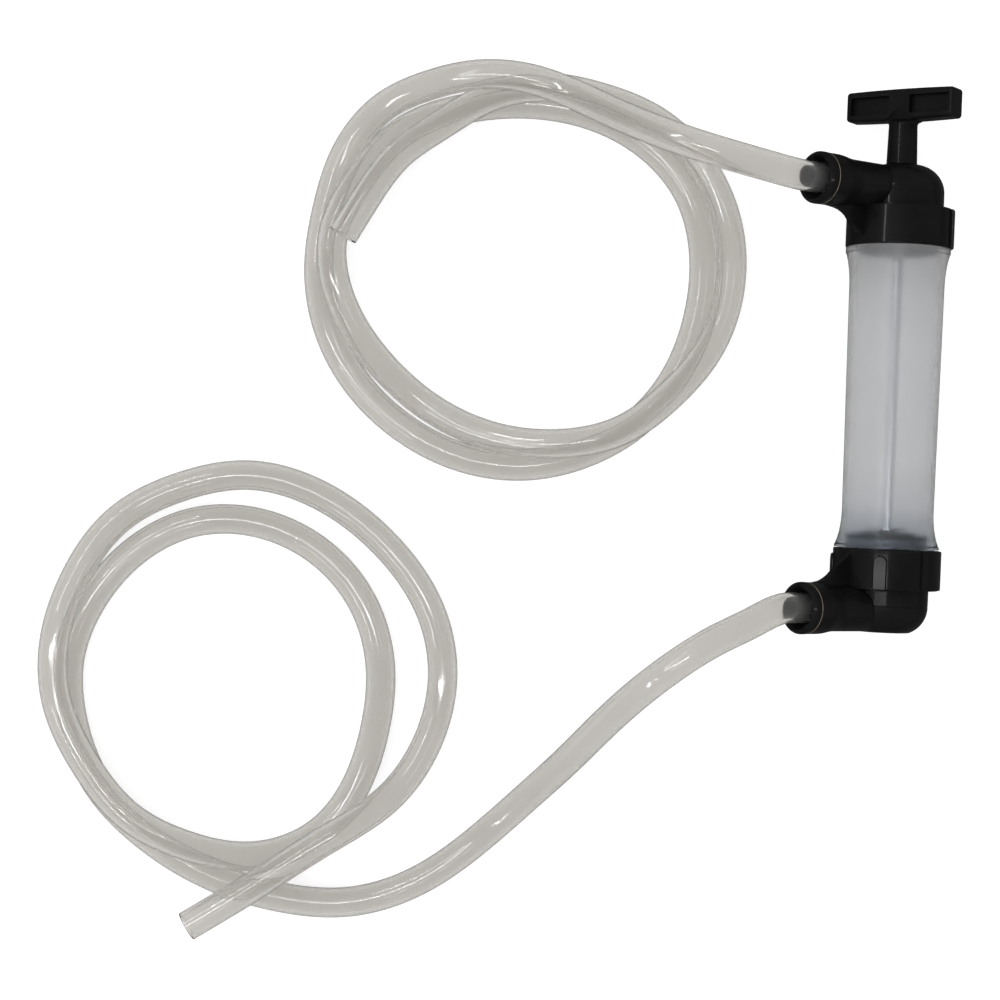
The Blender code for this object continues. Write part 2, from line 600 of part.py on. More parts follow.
# ---------------------------------------------------------------- plunger
def piston(kit):
    """Head, cup seal, lower plate and the flap disc that covers the head's ports."""
    head = turned("piston_head", [(PISTON_HOLE_R, BOSS_TOP), (HEAD_BOSS_R, BOSS_TOP), (HEAD_BOSS_R, PISTON_TOP),
                                  (HEAD_R, PISTON_TOP), (HEAD_R, CUP_TOP_OF_BASE + FIT),
                                  (SPIGOT_R, CUP_TOP_OF_BASE + FIT), (SPIGOT_R, CUP_BOTTOM),
                                  (PISTON_HOLE_R, CUP_BOTTOM)], TURN_STEPS)
    finish(add(head, kit["pieces"], kit["slide"]), kit["black"])

    lip_top = CUP_BOTTOM + CUP_LIP_HEIGHT
    cup = turned("piston_cup_seal", [(CUP_R - CUP_LIP_WALL, lip_top), (CUP_R, lip_top), (CUP_R, CUP_TOP_OF_BASE),
                                     (CUP_R - CUP_BASE, CUP_BOTTOM), (SPIGOT_R + FIT, CUP_BOTTOM),
                                     (SPIGOT_R + FIT, CUP_TOP_OF_BASE),
                                     (CUP_R - CUP_LIP_WALL, CUP_TOP_OF_BASE)], TURN_STEPS)
    finish(add(cup, kit["pieces"], kit["slide"]), kit["rubber"])

    plate_r = CUP_R - CUP_BASE - LOWER_PLATE_INSET
    lower = ring("piston_lower_plate", PISTON_HOLE_R, plate_r, LOWER_PLATE_BOTTOM, LOWER_PLATE_TOP, SMALL_STEPS)
    finish(add(lower, kit["pieces"], kit["slide"]), kit["steel"])

    for index in range(HEAD_PORTS):
        angle = 2.0 * math.pi * index / HEAD_PORTS
        port = cylinder("piston_port_%d" % index, HEAD_PORT_R, NUT_TOP, BOSS_TOP, HOLE_STEPS)
        add(as_cutter(port), kit["cutters"], kit["slide"])
        port.location = (HEAD_PORT_PITCH_R * math.cos(angle), HEAD_PORT_PITCH_R * math.sin(angle), 0.0)
        boolean(head, "DIFFERENCE", port)
        boolean(lower, "DIFFERENCE", port)

    disc = ring("piston_valve_disc", HEAD_BOSS_R + FIT, PISTON_DISC_R, PISTON_DISC_BOTTOM,
                PISTON_DISC_BOTTOM + PISTON_DISC_THICKNESS, SMALL_STEPS)
    finish(add(disc, kit["pieces"], kit["slide"]), kit["rubber"])


def rod(kit):
    """Steel rod with its washers and nut; a shoulder clamps the stop washer."""
    shaft = turned("piston_rod", [(0.0, ROD_TOP), (ROD_R, ROD_TOP), (ROD_R, ROD_SHOULDER),
                                  (ROD_THREAD_R, ROD_SHOULDER), (ROD_THREAD_R, ROD_BOTTOM), (0.0, ROD_BOTTOM)],
                   24, closed=False)
    stop = ring("valve_stop_washer", PISTON_HOLE_R, STOP_WASHER_R, STOP_WASHER_BOTTOM,
                STOP_WASHER_BOTTOM + STOP_WASHER_THICKNESS, SMALL_STEPS)
    washer = ring("piston_washer", PISTON_HOLE_R, PISTON_WASHER_R, PISTON_WASHER_TOP - PISTON_WASHER_THICKNESS,
                  PISTON_WASHER_TOP, 24)
    for piece in (shaft, stop, washer):
        finish(add(piece, kit["pieces"], kit["swivel"]), kit["steel"])

    nut = cylinder("piston_nut", NUT_ACROSS_FLATS / math.sqrt(3.0), NUT_TOP - NUT_HEIGHT, NUT_TOP, 6)
    hole = cylinder("nut_hole", PISTON_HOLE_R, ROD_BOTTOM - ROD_END, NUT_TOP + ROD_END, 24)
    finish(add(nut, kit["pieces"], kit["swivel"]), kit["steel"])
    add(as_cutter(hole), kit["cutters"], kit["swivel"])
    boolean(nut, "DIFFERENCE", hole)
    for polygon in nut.data.polygons:
        polygon.use_smooth = False


def gland(kit):
    """Rod seal in the top cap's hub, and the ring pushed in behind it."""
    outer = GLAND_POCKET_R - FIT
    roof = DOME_TOP - GLAND_ROOF - FIT
    seal = ring("rod_seal", ROD_HOLE_R, outer, roof - ROD_SEAL_HEIGHT, roof, SMALL_STEPS)
    finish(add(seal, kit["pieces"], kit["root"]), kit["rubber"])
    below = roof - ROD_SEAL_HEIGHT - FIT
    retainer = ring("gland_retainer", ROD_HOLE_R, outer, below - GLAND_RETAINER_HEIGHT, below, SMALL_STEPS)
    finish(add(retainer, kit["pieces"], kit["root"]), kit["black"])


# ---------------------------------------------------------------- handle
def pocket(name, side, face):
    """Cutter for one recess in the bar: side is left or right, face is front or back."""
    inner = BAR_BOSS_WIDTH / 2.0
    outer = BAR_LENGTH / 2.0 - POCKET_FRAME
    mesh = bpy.data.meshes.new(name)
    shape = bmesh.new()
    size = Matrix.Diagonal((outer - inner, 2.0 * POCKET_DEPTH, POCKET_HEIGHT, 1.0))
    bmesh.ops.create_cube(shape, size=1.0, matrix=size)
    shape.to_mesh(mesh)
    shape.free()
    cutter = bpy.data.objects.new(name, mesh)
    cutter.location = (side * (inner + outer) / 2.0, face * BAR_DEPTH / 2.0, (BAR_BOTTOM + BAR_TOP) / 2.0)
    return cutter


def handle(kit):
    """T-handle: a pocketed bar on a round stem, with a hole up the stem for the rod."""
    end = BAR_LENGTH / 2.0
    half = BAR_HEIGHT / 2.0
    outline = [(-end, BAR_CROWN - half), (0.0, -half), (end, BAR_CROWN - half), (end, half - BAR_CROWN),
               (0.0, half), (-end, half - BAR_CROWN)]
    bar = add(plate("handle", outline, BAR_DEPTH), kit["pieces"], kit["swivel"])
    upright = Matrix.Translation((0.0, 0.0, (BAR_BOTTOM + BAR_TOP) / 2.0)) @ Matrix.Rotation(math.pi / 2.0, 4, "X")
    bar.data.transform(upright)
    bar.rotation_euler = (0.0, 0.0, -BAR_TURN)
    rounding = bar.modifiers.new("rounding", "BEVEL")
    rounding.width = BAR_ROUNDING
    rounding.segments = 2
    rounding.limit_method = "ANGLE"

    turn = Matrix.Rotation(-BAR_TURN, 4, "Z")
    for side, where in ((-1.0, "left"), (1.0, "right")):
        for face, way in ((-1.0, "front"), (1.0, "back")):
            cutter = pocket("pocket_%s_%s" % (where, way), side, face)
            place = Matrix.Translation(cutter.location)
            add(as_cutter(cutter), kit["cutters"], kit["swivel"])
            cutter.matrix_local = turn @ place
            boolean(bar, "DIFFERENCE", cutter)

    fillet = arc((STEM_TOP_R + STEM_FILLET, BAR_BOTTOM - STEM_FILLET), -STEM_FILLET, -90.0, 0.0, 5)
    stem_top = BAR_BOTTOM + BAR_HEIGHT / 2.0
    profile = [(0.0, stem_top), (BAR_DEPTH / 2.0 - BAR_ROUNDING, stem_top)]
    profile += [(min(r, STEM_TOP_R + STEM_FILLET * 0.9), z) for r, z in fillet]
    profile += [(STEM_BOTTOM_R, STEM_BOTTOM), (0.0, STEM_BOTTOM)]
    stem = as_cutter(add(turned("handle_stem", profile, SMALL_STEPS, closed=False), kit["cutters"], kit["swivel"]))
    boolean(bar, "UNION", stem)

    hole = cylinder("handle_rod_hole", ROD_HOLE_R, STEM_BOTTOM - ROD_R, ROD_TOP + FIT, 24)
    add(as_cutter(hole), kit["cutters"], kit["swivel"])
    boolean(bar, "DIFFERENCE", hole)
    return finish(bar, kit["black"])


# ---------------------------------------------------------------- hoses
# Routes in the world, in millimetres, from the port to the free end.
INLET_ROUTE = [
    (-48, -110.3, 65.6), (-63.5, -118, 72.5), (-82, -130.8, 72.5), (-101.5, -149.7, 59.5), (-119.5, -172, 36),
    (-137, -192, 16), (-156.5, -211.5, 8), (-179.5, -229, 6.6), (-209.5, -240, 6.6), (-239, -239.5, 6.6),
    (-270, -231.2, 6.6), (-299.8, -214.3, 6.6), (-321, -193, 6.6), (-332, -167.5, 6.6), (-334.5, -141, 6.6),
    (-325.3, -114.2, 6.6), (-307.4, -92.6, 6.6), (-282.7, -79.7, 6.6), (-254, -79.4, 6.6), (-227.2, -91.7, 6.6),
    (-208.5, -113.5, 6.6), (-200.8, -139.5, 6.6), (-202.4, -167, 6.6), (-209.7, -191, 6.6), (-225, -211.2, 7.5),
    (-251.5, -221.5, 11.5), (-279.7, -217.1, 18.5), (-303.5, -206, 20), (-324, -183.6, 20), (-337.1, -157.3, 19.5),
    (-339, -133, 19), (-332, -106, 16), (-315.5, -80, 9.5), (-290, -65, 6.6), (-260, -58.7, 6.6),
    (-229.5, -66.2, 6.6), (-200, -87, 6.6), (-181, -112.5, 6.6), (-174, -140.5, 6.6), (-179.2, -169.7, 9),
    (-195.5, -194.5, 15.5), (-221, -212.4, 21), (-248.4, -231.4, 21.5), (-277.6, -250.6, 23),
]
OUTLET_ROUTE = [
    (-46.3, 74.8, 61), (-63.5, 78.2, 65.5), (-81, 83, 64.5), (-97, 89.3, 57.5), (-113.2, 97.5, 45.5), (-130.2, 106.2, 36),
    (-149, 112.2, 32.2), (-168.8, 112.9, 31), (-188.4, 109.3, 23.5), (-208.3, 100.8, 14.5), (-223.6, 83, 8.2),
    (-231.7, 57, 6.6), (-234.2, 31, 6.6), (-228.5, 4, 6.6), (-213.8, -19.7, 6.6), (-193.3, -36.9, 6.6),
    (-167.8, -47.8, 6.6), (-141, -49.8, 6.6), (-115.2, -42.6, 6.6), (-94.5, -29, 6.6), (-79, -8.5, 6.6),
    (-70.6, 16.5, 6.6), (-69.1, 43, 6.6), (-76.2, 68.5, 6.6), (-94.3, 89.2, 6.6), (-120.5, 102, 6.6),
    (-147.5, 105.6, 6.6), (-174.5, 102.4, 6.6), (-198.8, 92.1, 9.9), (-217.7, 69.6, 16.2), (-228, 43, 19.5),
    (-222.5, 15, 18), (-206.3, -8.3, 12), (-183, -27.2, 8.5), (-154.2, -38.6, 13), (-126.5, -40, 19),
    (-101.5, -33, 20), (-83, -18.5, 20), (-67, 1.6, 18), (-58.5, 26.5, 15), (-59.2, 51.5, 14.7),
    (-70.1, 77.5, 15.2), (-90.4, 97.6, 16.2), (-116.1, 107.6, 17.6), (-141, 110.8, 18.7), (-164, 105.4, 20.5),
    (-183.4, 92.8, 22.5), (-200.6, 79, 26.5), (-213.8, 59.4, 31), (-222.8, 43.2, 32),
]


def smooth_route(points, count, first):
    """Evenly spaced points on the natural cubic spline through the given ones, from the first'th on."""
    given = np.array(points, dtype=float)
    knots = np.concatenate(([0.0], np.cumsum(np.linalg.norm(np.diff(given, axis=0), axis=1))))
    spans = np.diff(knots)
    last = len(given) - 1
    system = np.eye(last + 1)
    right = np.zeros_like(given)
    slopes = np.diff(given, axis=0) / spans[:, None]
    for i in range(1, last):
        system[i, i - 1] = spans[i - 1]
        system[i, i] = 2.0 * (spans[i - 1] + spans[i])
        system[i, i + 1] = spans[i]
        right[i] = 6.0 * (slopes[i] - slopes[i - 1])
    bend = np.linalg.solve(system, right)

    def at(t):
        i = min(int(np.searchsorted(knots, t, side="right")) - 1, last - 1)
        h = spans[i]
        a = (knots[i + 1] - t) / h
        b = (t - knots[i]) / h
        return (a * given[i] + b * given[i + 1]
                + ((a ** 3 - a) * bend[i] + (b ** 3 - b) * bend[i + 1]) * h * h / 6.0)

    fine = np.array([at(t) for t in np.linspace(knots[first], knots[-1], 40 * count)])
    along = np.concatenate(([0.0], np.cumsum(np.linalg.norm(np.diff(fine, axis=0), axis=1))))
    even = np.linspace(0.0, along[-1], count)
    return np.stack([np.interp(even, along, fine[:, axis]) for axis in range(3)], axis=1)


def hose(kit, name, route, height):
    """A hose as one tube: from the connector's well along its route, with the bore the nipple fills."""
    port = kit["root"].matrix_world @ about_port(height)
    straight = [tuple(port @ Vector((0.0, 0.0, reach))) for reach in (HOSE_START, FLANGE_FACE, FLANGE_FACE + HOSE_R)]
    route_m = [tuple(c / 1000.0 for c in p) for p in route]
    points = [straight[0], *smooth_route(straight + route_m, HOSE_POINTS, len(straight) - 1)]
    curve = bpy.data.curves.new(name, "CURVE")
    curve.dimensions = "3D"
    curve.bevel_depth = HOSE_R
    curve.bevel_resolution = 2
    curve.use_fill_caps = True
    spline = curve.splines.new("POLY")
    spline.points.add(len(points) - 1)
    for point, place in zip(spline.points, points):
        point.co = (*place, 1.0)
    tube = curve_to_mesh(bpy.data.objects.new(name, curve), 0.00001)
    kit["pieces"].objects.link(tube)
    finish(tube, kit["clear"])

    socket = cylinder(name + "_socket", HOSE_BORE_R, HOSE_START - HOSE_R, FLANGE_FACE + NIPPLE_REACH + FIT, 16)
    kit["cutters"].objects.link(as_cutter(socket))
    socket.matrix_world = port
    boolean(tube, "DIFFERENCE", socket)


# ---------------------------------------------------------------- laying the pump down
def lay_down(kit):
    """Turns the pump onto its back and puts the origin under the middle of its box, on the ground."""
    root = kit["root"]
    root.rotation_euler = (-math.pi / 2.0, 0.0, 0.0)
    bpy.context.view_layer.update()
    depsgraph = bpy.context.evaluated_depsgraph_get()
    low = Vector((math.inf, math.inf, math.inf))
    high = -low
    for obj in kit["pieces"].objects:
        shown = obj.evaluated_get(depsgraph)
        for vertex in shown.to_mesh().vertices:
            place = shown.matrix_world @ vertex.co
            low = Vector(map(min, low, place))
            high = Vector(map(max, high, place))
        shown.to_mesh_clear()
    root.location = (-(low.x + high.x) / 2.0, -(low.y + high.y) / 2.0, -low.z)
    bpy.context.view_layer.update()


def build():
    clear_scene()
    kit = {
        "pieces": new_collection("gear_oil_pump"),
        "cutters": new_collection("cutters"),
        "black": material("black_plastic", (0.012, 0.012, 0.013), 0.28),
        "frosted": material("frosted_plastic", (0.62, 0.63, 0.65), 0.38, transmission=0.6),
        "clear": material("clear_hose", (0.72, 0.71, 0.69), 0.22, transmission=0.7),
        "rubber": material("black_rubber", (0.020, 0.020, 0.020), 0.75),
        "steel": material("steel", (0.56, 0.56, 0.57), 0.30, metallic=1.0),
    }
    for empty in ("root", "slide", "swivel"):
        kit[empty] = bpy.data.objects.new("pump_" + empty, None)
        bpy.context.scene.collection.objects.link(kit[empty])
    kit["slide"].parent = kit["root"]
    kit["swivel"].parent = kit["slide"]

    bottom_cap(kit)
    top_cap(kit)
    barrel(kit)
    gaskets(kit)
    inlet_valve(kit)
    connector(kit, "inlet_connector", INLET_HEIGHT)
    connector(kit, "outlet_connector", OUTLET_HEIGHT)
    piston(kit)
    rod(kit)
    gland(kit)
    handle(kit)
    lay_down(kit)
    hose(kit, "inlet_hose", INLET_ROUTE, INLET_HEIGHT)
    hose(kit, "outlet_hose", OUTLET_ROUTE, OUTLET_HEIGHT)


build()
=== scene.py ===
"""Looks of the gear oil pump: moulded black caps and handle, frosted barrel, clear hoses, studio light.

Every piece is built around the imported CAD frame.  Sizes of the pieces are in millimetres (MM turns them
into metres) in the pump's own upright frame: Z runs up the pump's axis, with height 0 a millimetre above
the flat foot, and -Y is the side that faces up once the pump lies on its back.  LAID puts that frame where
the CAD pump lies.
"""

import json
import math

import bmesh
import bpy
import numpy as np
from mathutils import Matrix, Vector


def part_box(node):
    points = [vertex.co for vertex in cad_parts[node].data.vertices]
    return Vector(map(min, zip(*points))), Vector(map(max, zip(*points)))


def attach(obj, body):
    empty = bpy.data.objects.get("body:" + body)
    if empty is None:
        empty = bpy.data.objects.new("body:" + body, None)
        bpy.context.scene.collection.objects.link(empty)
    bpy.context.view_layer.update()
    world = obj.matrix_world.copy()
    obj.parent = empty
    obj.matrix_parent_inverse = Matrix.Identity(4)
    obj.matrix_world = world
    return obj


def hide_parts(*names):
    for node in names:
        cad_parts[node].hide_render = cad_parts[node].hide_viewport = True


MM = 0.001

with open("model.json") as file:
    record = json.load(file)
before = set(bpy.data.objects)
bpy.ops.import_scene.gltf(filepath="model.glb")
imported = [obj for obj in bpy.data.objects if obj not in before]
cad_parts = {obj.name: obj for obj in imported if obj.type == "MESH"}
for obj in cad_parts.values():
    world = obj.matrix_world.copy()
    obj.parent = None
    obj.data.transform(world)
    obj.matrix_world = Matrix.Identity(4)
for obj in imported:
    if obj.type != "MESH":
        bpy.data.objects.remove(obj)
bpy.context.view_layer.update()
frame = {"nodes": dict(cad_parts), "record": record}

# ---------------------------------------------------------------- where the pump lies
ROD_LOW, ROD_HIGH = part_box("piston_rod")
BARREL_BOTTOM = 26.4            # height of the barrel's lower end
AXIS_X = (ROD_LOW.x + ROD_HIGH.x) / 2.0
AXIS_Z = (ROD_LOW.z + ROD_HIGH.z) / 2.0
ZERO_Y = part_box("barrel")[0].y - BARREL_BOTTOM * MM
LAID = Matrix.Translation((AXIS_X, ZERO_Y, AXIS_Z)) @ Matrix.Rotation(-math.pi / 2.0, 4, "X")

BODY = "pump_body"              # the body that all still pieces ride on
FIT = 0.3                       # clearance between touching pieces
ROUND = 144                     # facets round the large turned pieces
FINE = 96                       # facets round the small ones
ROD_STEPS = 48                  # facets round the rod and its hole

# ---------------------------------------------------------------- sizes of the caps
# a cap's levels are measured from its closed end: from height 0 below, from DOME_TOP above
SKIRT_R = 22.2
SOCKET_R = 20.2                 # hole for the barrel's end
PAD_R = 23.1                    # grip pads
PAD_INSET = 0.2                 # pads stop this far inside the skirt's edges
RIB_R = PAD_R + 0.1
RIB_HALF_WIDTH = 2.85
RIB_LENGTH = 14.5
ROOT_R = SKIRT_R - 1.0          # pads and ribs begin inside the skirt
BODY_R = 18.3
BODY_WALL = 2.8
BOTTOM_LEVELS = (17.1, 34.1)    # where the bottom cap's skirt begins and ends
TOP_LEVELS = (18.5, 35.1)       # where the top cap's skirt begins and ends
PAST_SKIRT = 36.0               # level where the cuts into the skirt end, in the open
DOME_ARC_R = 12.0               # rounding between a cap's side and its closed end
FOOT_R = 11.0
FOOT_LEVEL = -1.0
CHAMBER_R = 15.5
MOULDED_EDGE = 0.35             # rounding of the caps' and the handle's edges
DOME_TOP = 196.3
ROD_HOLE_R = 2.8

INLET_HEIGHT = 8.8              # the inlet port's level in the bottom cap, and its height
OUTLET_DROP = 10.6              # the outlet port's level in the top cap
OUTLET_HEIGHT = DOME_TOP - OUTLET_DROP
PORT_AZIMUTH = math.radians(52.5)
PORT_R = 9.6
PORT_COLLAR_R = 10.7
PORT_COLLAR_LENGTH = 6.2
PORT_TAPER_LENGTH = 9.5         # behind the collar
PORT_CHAMFER = 0.35
PORT_END = 46.7                 # from the axis to the port's mouth
PORT_BORE_R = 7.7
PORT_BORE_DEPTH = 13.0
PASSAGE_R = 5.2                 # from the bore's floor into the cap
WEB_THICKNESS = 2.4
BOTTOM_WEB_EDGE = [             # free edge of the gusset, distance from the axis and level
    (21.7, 31.7), (26.5, 28.8), (30.4, 26.0), (32.2, 24.0), (33.9, 22.6), (36.0, 21.3), (38.5, 20.2),
    (42.0, 19.5), (46.2, 19.3),
]
TOP_WEB_EDGE = [
    (21.7, 32.2), (26.5, 29.2), (29.4, 27.3), (30.6, 25.7), (32.0, 24.3), (33.8, 23.2), (36.0, 22.3),
    (38.8, 21.7), (42.5, 21.3), (46.2, 21.1),
]

# ---------------------------------------------------------------- sizes of the other pieces
BARREL_BORE_R = 17.4
BARREL_NECK_R = 19.8            # ends of the barrel, inside the caps
BARREL_TOP_NECK = 7.7           # length of the upper one
BARREL_BAND_R = 21.95           # widest part, against each cap
BARREL_SPAN = (BOTTOM_LEVELS[1], DOME_TOP - TOP_LEVELS[1])    # heights where the caps end

HOSE_R = 6.35
HOSE_BORE_R = 4.75
HOSE_START = 42.0               # from the axis to the floor of the connector's well
HOSE_STEP = 0.0025              # metres between the rings of a hose
HOSE_SIDES = 40
PLUG_R = 7.4
FLANGE_R = 10.8
FLANGE_FACE = 51.0              # from the axis to the connector's outer face

STEM_LENGTH = 18.3              # from the top cap up to the handle's bar
BAR_BOTTOM = DOME_TOP + FIT + STEM_LENGTH
BAR_LENGTH = 49.4
BAR_DEPTH = 10.0
BAR_HEIGHT = 13.3
BAR_CROWN = 0.45                # how far the bar's long edges bulge
BAR_TURN = -35.0                # degrees about the pump's axis, at rest
ROD_IN_BAR = 6.0
PALE_NODES = ("piston_cup_seal", "piston_valve_disc")    # CAD nodes of grey rubber

# routes in millimetres, from the port to the free end
INLET_ROUTE = [
    (-48, -110.3, 65.6), (-63.5, -118, 72.5), (-82, -130.8, 72.5), (-101.5, -149.7, 59.5),
    (-119.5, -172, 36), (-137, -192, 16), (-156.5, -211.5, 8), (-179.5, -229, 6.6), (-209.5, -240, 6.6),
    (-239, -239.5, 6.6), (-270, -231.2, 6.6), (-299.8, -214.3, 6.6), (-321, -193, 6.6),
    (-332, -167.5, 6.6), (-334.5, -141, 6.6), (-325.3, -114.2, 6.6), (-307.4, -92.6, 6.6),
    (-282.7, -79.7, 6.6), (-254, -79.4, 6.6), (-227.2, -91.7, 6.6), (-208.5, -113.5, 6.6),
    (-200.8, -139.5, 6.6), (-202.4, -167, 6.6), (-209.7, -191, 6.6), (-225, -211.2, 7.5),
    (-251.5, -221.5, 11.5), (-279.7, -217.1, 18.5), (-303.5, -206, 20), (-324, -183.6, 20),
    (-337.1, -157.3, 19.5), (-339, -133, 19), (-332, -106, 16), (-315.5, -80, 9.5), (-290, -65, 6.6),
    (-260, -58.7, 6.6), (-229.5, -66.2, 6.6), (-200, -87, 6.6), (-181, -112.5, 6.6), (-174, -140.5, 6.6),
    (-179.2, -169.7, 9), (-195.5, -194.5, 15.5), (-221, -212.4, 21), (-248.4, -231.4, 21.5),
    (-277.6, -250.6, 23),
]
OUTLET_ROUTE = [
    (-46.3, 74.8, 61), (-63.5, 78.2, 65.5), (-81, 83, 64.5), (-97, 89.3, 57.5), (-113.2, 97.5, 45.5),
    (-130.2, 106.2, 36), (-149, 112.2, 32.2), (-168.8, 112.9, 31), (-188.4, 109.3, 23.5),
    (-208.3, 100.8, 14.5), (-223.6, 83, 8.2), (-231.7, 57, 6.6), (-234.2, 31, 6.6), (-228.5, 4, 6.6),
    (-213.8, -19.7, 6.6), (-193.3, -36.9, 6.6), (-167.8, -47.8, 6.6), (-141, -49.8, 6.6),
    (-115.2, -42.6, 6.6), (-94.5, -29, 6.6), (-79, -8.5, 6.6), (-70.6, 16.5, 6.6), (-69.1, 43, 6.6),
    (-76.2, 68.5, 6.6), (-94.3, 89.2, 6.6), (-120.5, 102, 6.6), (-147.5, 105.6, 6.6),
    (-174.5, 102.4, 6.6), (-198.8, 92.1, 9.9), (-217.7, 69.6, 16.2), (-228, 43, 19.5), (-222.5, 15, 18),
    (-206.3, -8.3, 12), (-183, -27.2, 8.5), (-154.2, -38.6, 13), (-126.5, -40, 19), (-101.5, -33, 20),
    (-83, -18.5, 20), (-67, 1.6, 18), (-58.5, 26.5, 15), (-59.2, 51.5, 14.7), (-70.1, 77.5, 15.2),
    (-90.4, 97.6, 16.2), (-116.1, 107.6, 17.6), (-141, 110.8, 18.7), (-164, 105.4, 20.5),
    (-183.4, 92.8, 22.5), (-200.6, 79, 26.5), (-213.8, 59.4, 31), (-222.8, 43.2, 32),
]

# ---------------------------------------------------------------- the studio, in metres
CAMERA_PLACE = (-0.1524, -0.0650, 1.038)
CAMERA_TURN = 2.33              # degrees about its line of sight
CAMERA_LENS = 86.4

# the world's colour through clear plastic, and its strength in reflections and on plain surfaces
WORLD_THROUGH = (0.50, 0.488, 0.458)
WORLD_REFLECTED = 0.4
WORLD_SCATTERED = 0.95

FLOOR_COLOUR = 0.4
FLOOR_COLOUR_BEHIND = 0.12      # seen through clear plastic or in a reflection
FLOOR_GLOW = 0.75               # its own light as the camera sees it
FLOOR_GLOW_THROUGH = (0.47, 0.458, 0.43)
FLOOR_SIZE = 3.0
FLOOR_LEVEL = -0.0002

STRIP_LAMPS = [                 # name, place, target and size in metres, power in watts
    ("left_strip", (-0.9, 0.5, 1.3), (-0.15, 0.0, 0.0), (0.8, 0.06), 4.0),
    ("low_strip", (-0.95, -0.65, 1.2), (-0.2, 0.0, 0.0), (0.6, 0.06), 3.0),
    ("overhead", (-0.53, -0.137, 1.5), (-0.53, -0.137, 0.0), (0.92, 0.061), 4.2),
]


# ---------------------------------------------------------------- material helpers
def new_material(name):
    """A material with its nodes, its links and its Principled shader."""
    made = bpy.data.materials.new(name)
    made.use_nodes = True
    nodes = made.node_tree.nodes
    return made, nodes, made.node_tree.links, nodes["Principled BSDF"]


def grey(level):
    return (level, level, level)


def noise(nodes, links, scale, detail=3.0, stretch=(1.0, 1.0, 1.0)):
    """Noise in object space, its scale in features per metre, stretched along an axis if asked."""
    place = nodes.new("ShaderNodeTexCoord")
    mapping = nodes.new("ShaderNodeMapping")
    mapping.inputs["Scale"].default_value = stretch
    texture = nodes.new("ShaderNodeTexNoise")
    texture.inputs["Scale"].default_value = scale
    texture.inputs["Detail"].default_value = detail
    links.new(place.outputs["Object"], mapping.inputs["Vector"])
    links.new(mapping.outputs["Vector"], texture.inputs["Vector"])
    return texture.outputs["Fac"]


def ranged(nodes, links, value, given, wanted):
    """Maps a value from one (low, high) range to another, and holds it there."""
    scaled = nodes.new("ShaderNodeMapRange")
    scaled.inputs["From Min"].default_value, scaled.inputs["From Max"].default_value = given
    scaled.inputs["To Min"].default_value, scaled.inputs["To Max"].default_value = wanted
    links.new(value, scaled.inputs["Value"])
    return scaled.outputs["Result"]


NOISE_RANGE = (0.3, 0.7)        # where nearly all of a noise's values lie


def spread(nodes, links, value, low, high):
    """Maps a noise value to a range."""
    return ranged(nodes, links, value, NOISE_RANGE, (low, high))


def ramped(nodes, links, value, stops, interpolation="LINEAR"):
    """Colours by a value, each stop a value and its colour."""
    ramp = nodes.new("ShaderNodeValToRGB")
    ramp.color_ramp.interpolation = interpolation
    while len(ramp.color_ramp.elements) < len(stops):
        ramp.color_ramp.elements.new(0.5)
    for element, (position, colour) in zip(ramp.color_ramp.elements, stops):
        element.position = position
        element.color = (*colour, 1.0)
    links.new(value, ramp.inputs["Fac"])
    return ramp.outputs["Color"]


def tint(nodes, links, value, dark, light):
    """Blends two colours by a noise value."""
    return ramped(nodes, links, value, list(zip(NOISE_RANGE, (dark, light))))


def tint_by(nodes, links, share, first, second):
    """Goes from the first colour, or socket, to the second as the share goes from 0 to 1."""
    mix = nodes.new("ShaderNodeMix")
    mix.data_type = "RGBA"
    for name, value in (("A", first), ("B", second)):
        if isinstance(value, tuple):
            mix.inputs[name].default_value = (*value, 1.0)
        else:
            links.new(value, mix.inputs[name])
    links.new(share, mix.inputs["Factor"])
    return mix.outputs["Result"]


def times(nodes, links, first, second):
    """Product of two colours."""
    mix = nodes.new("ShaderNodeMix")
    mix.data_type = "RGBA"
    mix.blend_type = "MULTIPLY"
    mix.inputs["Factor"].default_value = 1.0
    links.new(first, mix.inputs["A"])
    links.new(second, mix.inputs["B"])
    return mix.outputs["Result"]


def up_the_barrel(nodes, links, stops):
    """Colours by height, each stop a share of the way from the bottom cap to the top one and its colour."""
    place = nodes.new("ShaderNodeTexCoord")
    split = nodes.new("ShaderNodeSeparateXYZ")
    links.new(place.outputs["Object"], split.inputs["Vector"])
    ends = [ZERO_Y + height * MM for height in BARREL_SPAN]
    share = ranged(nodes, links, split.outputs["Y"], ends, (0.0, 1.0))
    return ramped(nodes, links, share, stops, interpolation="EASE")


def off_the_axis(nodes, links):
    """Distance from the pump's axis, in metres."""
    place = nodes.new("ShaderNodeTexCoord")
    mapping = nodes.new("ShaderNodeMapping")
    mapping.inputs["Location"].default_value = (-AXIS_X, 0.0, -AXIS_Z)
    mapping.inputs["Scale"].default_value = (1.0, 0.0, 1.0)
    length = nodes.new("ShaderNodeVectorMath")
    length.operation = "LENGTH"
    links.new(place.outputs["Object"], mapping.inputs["Vector"])
    links.new(mapping.outputs["Vector"], length.inputs[0])
    return length.outputs["Value"]


def bump(nodes, links, shader, height, strength, distance):
    """Small relief on a shader, its distance in metres."""
    node = nodes.new("ShaderNodeBump")
    node.inputs["Strength"].default_value = strength
    node.inputs["Distance"].default_value = distance
    links.new(height, node.inputs["Height"])
    links.new(node.outputs["Normal"], shader.inputs["Normal"])


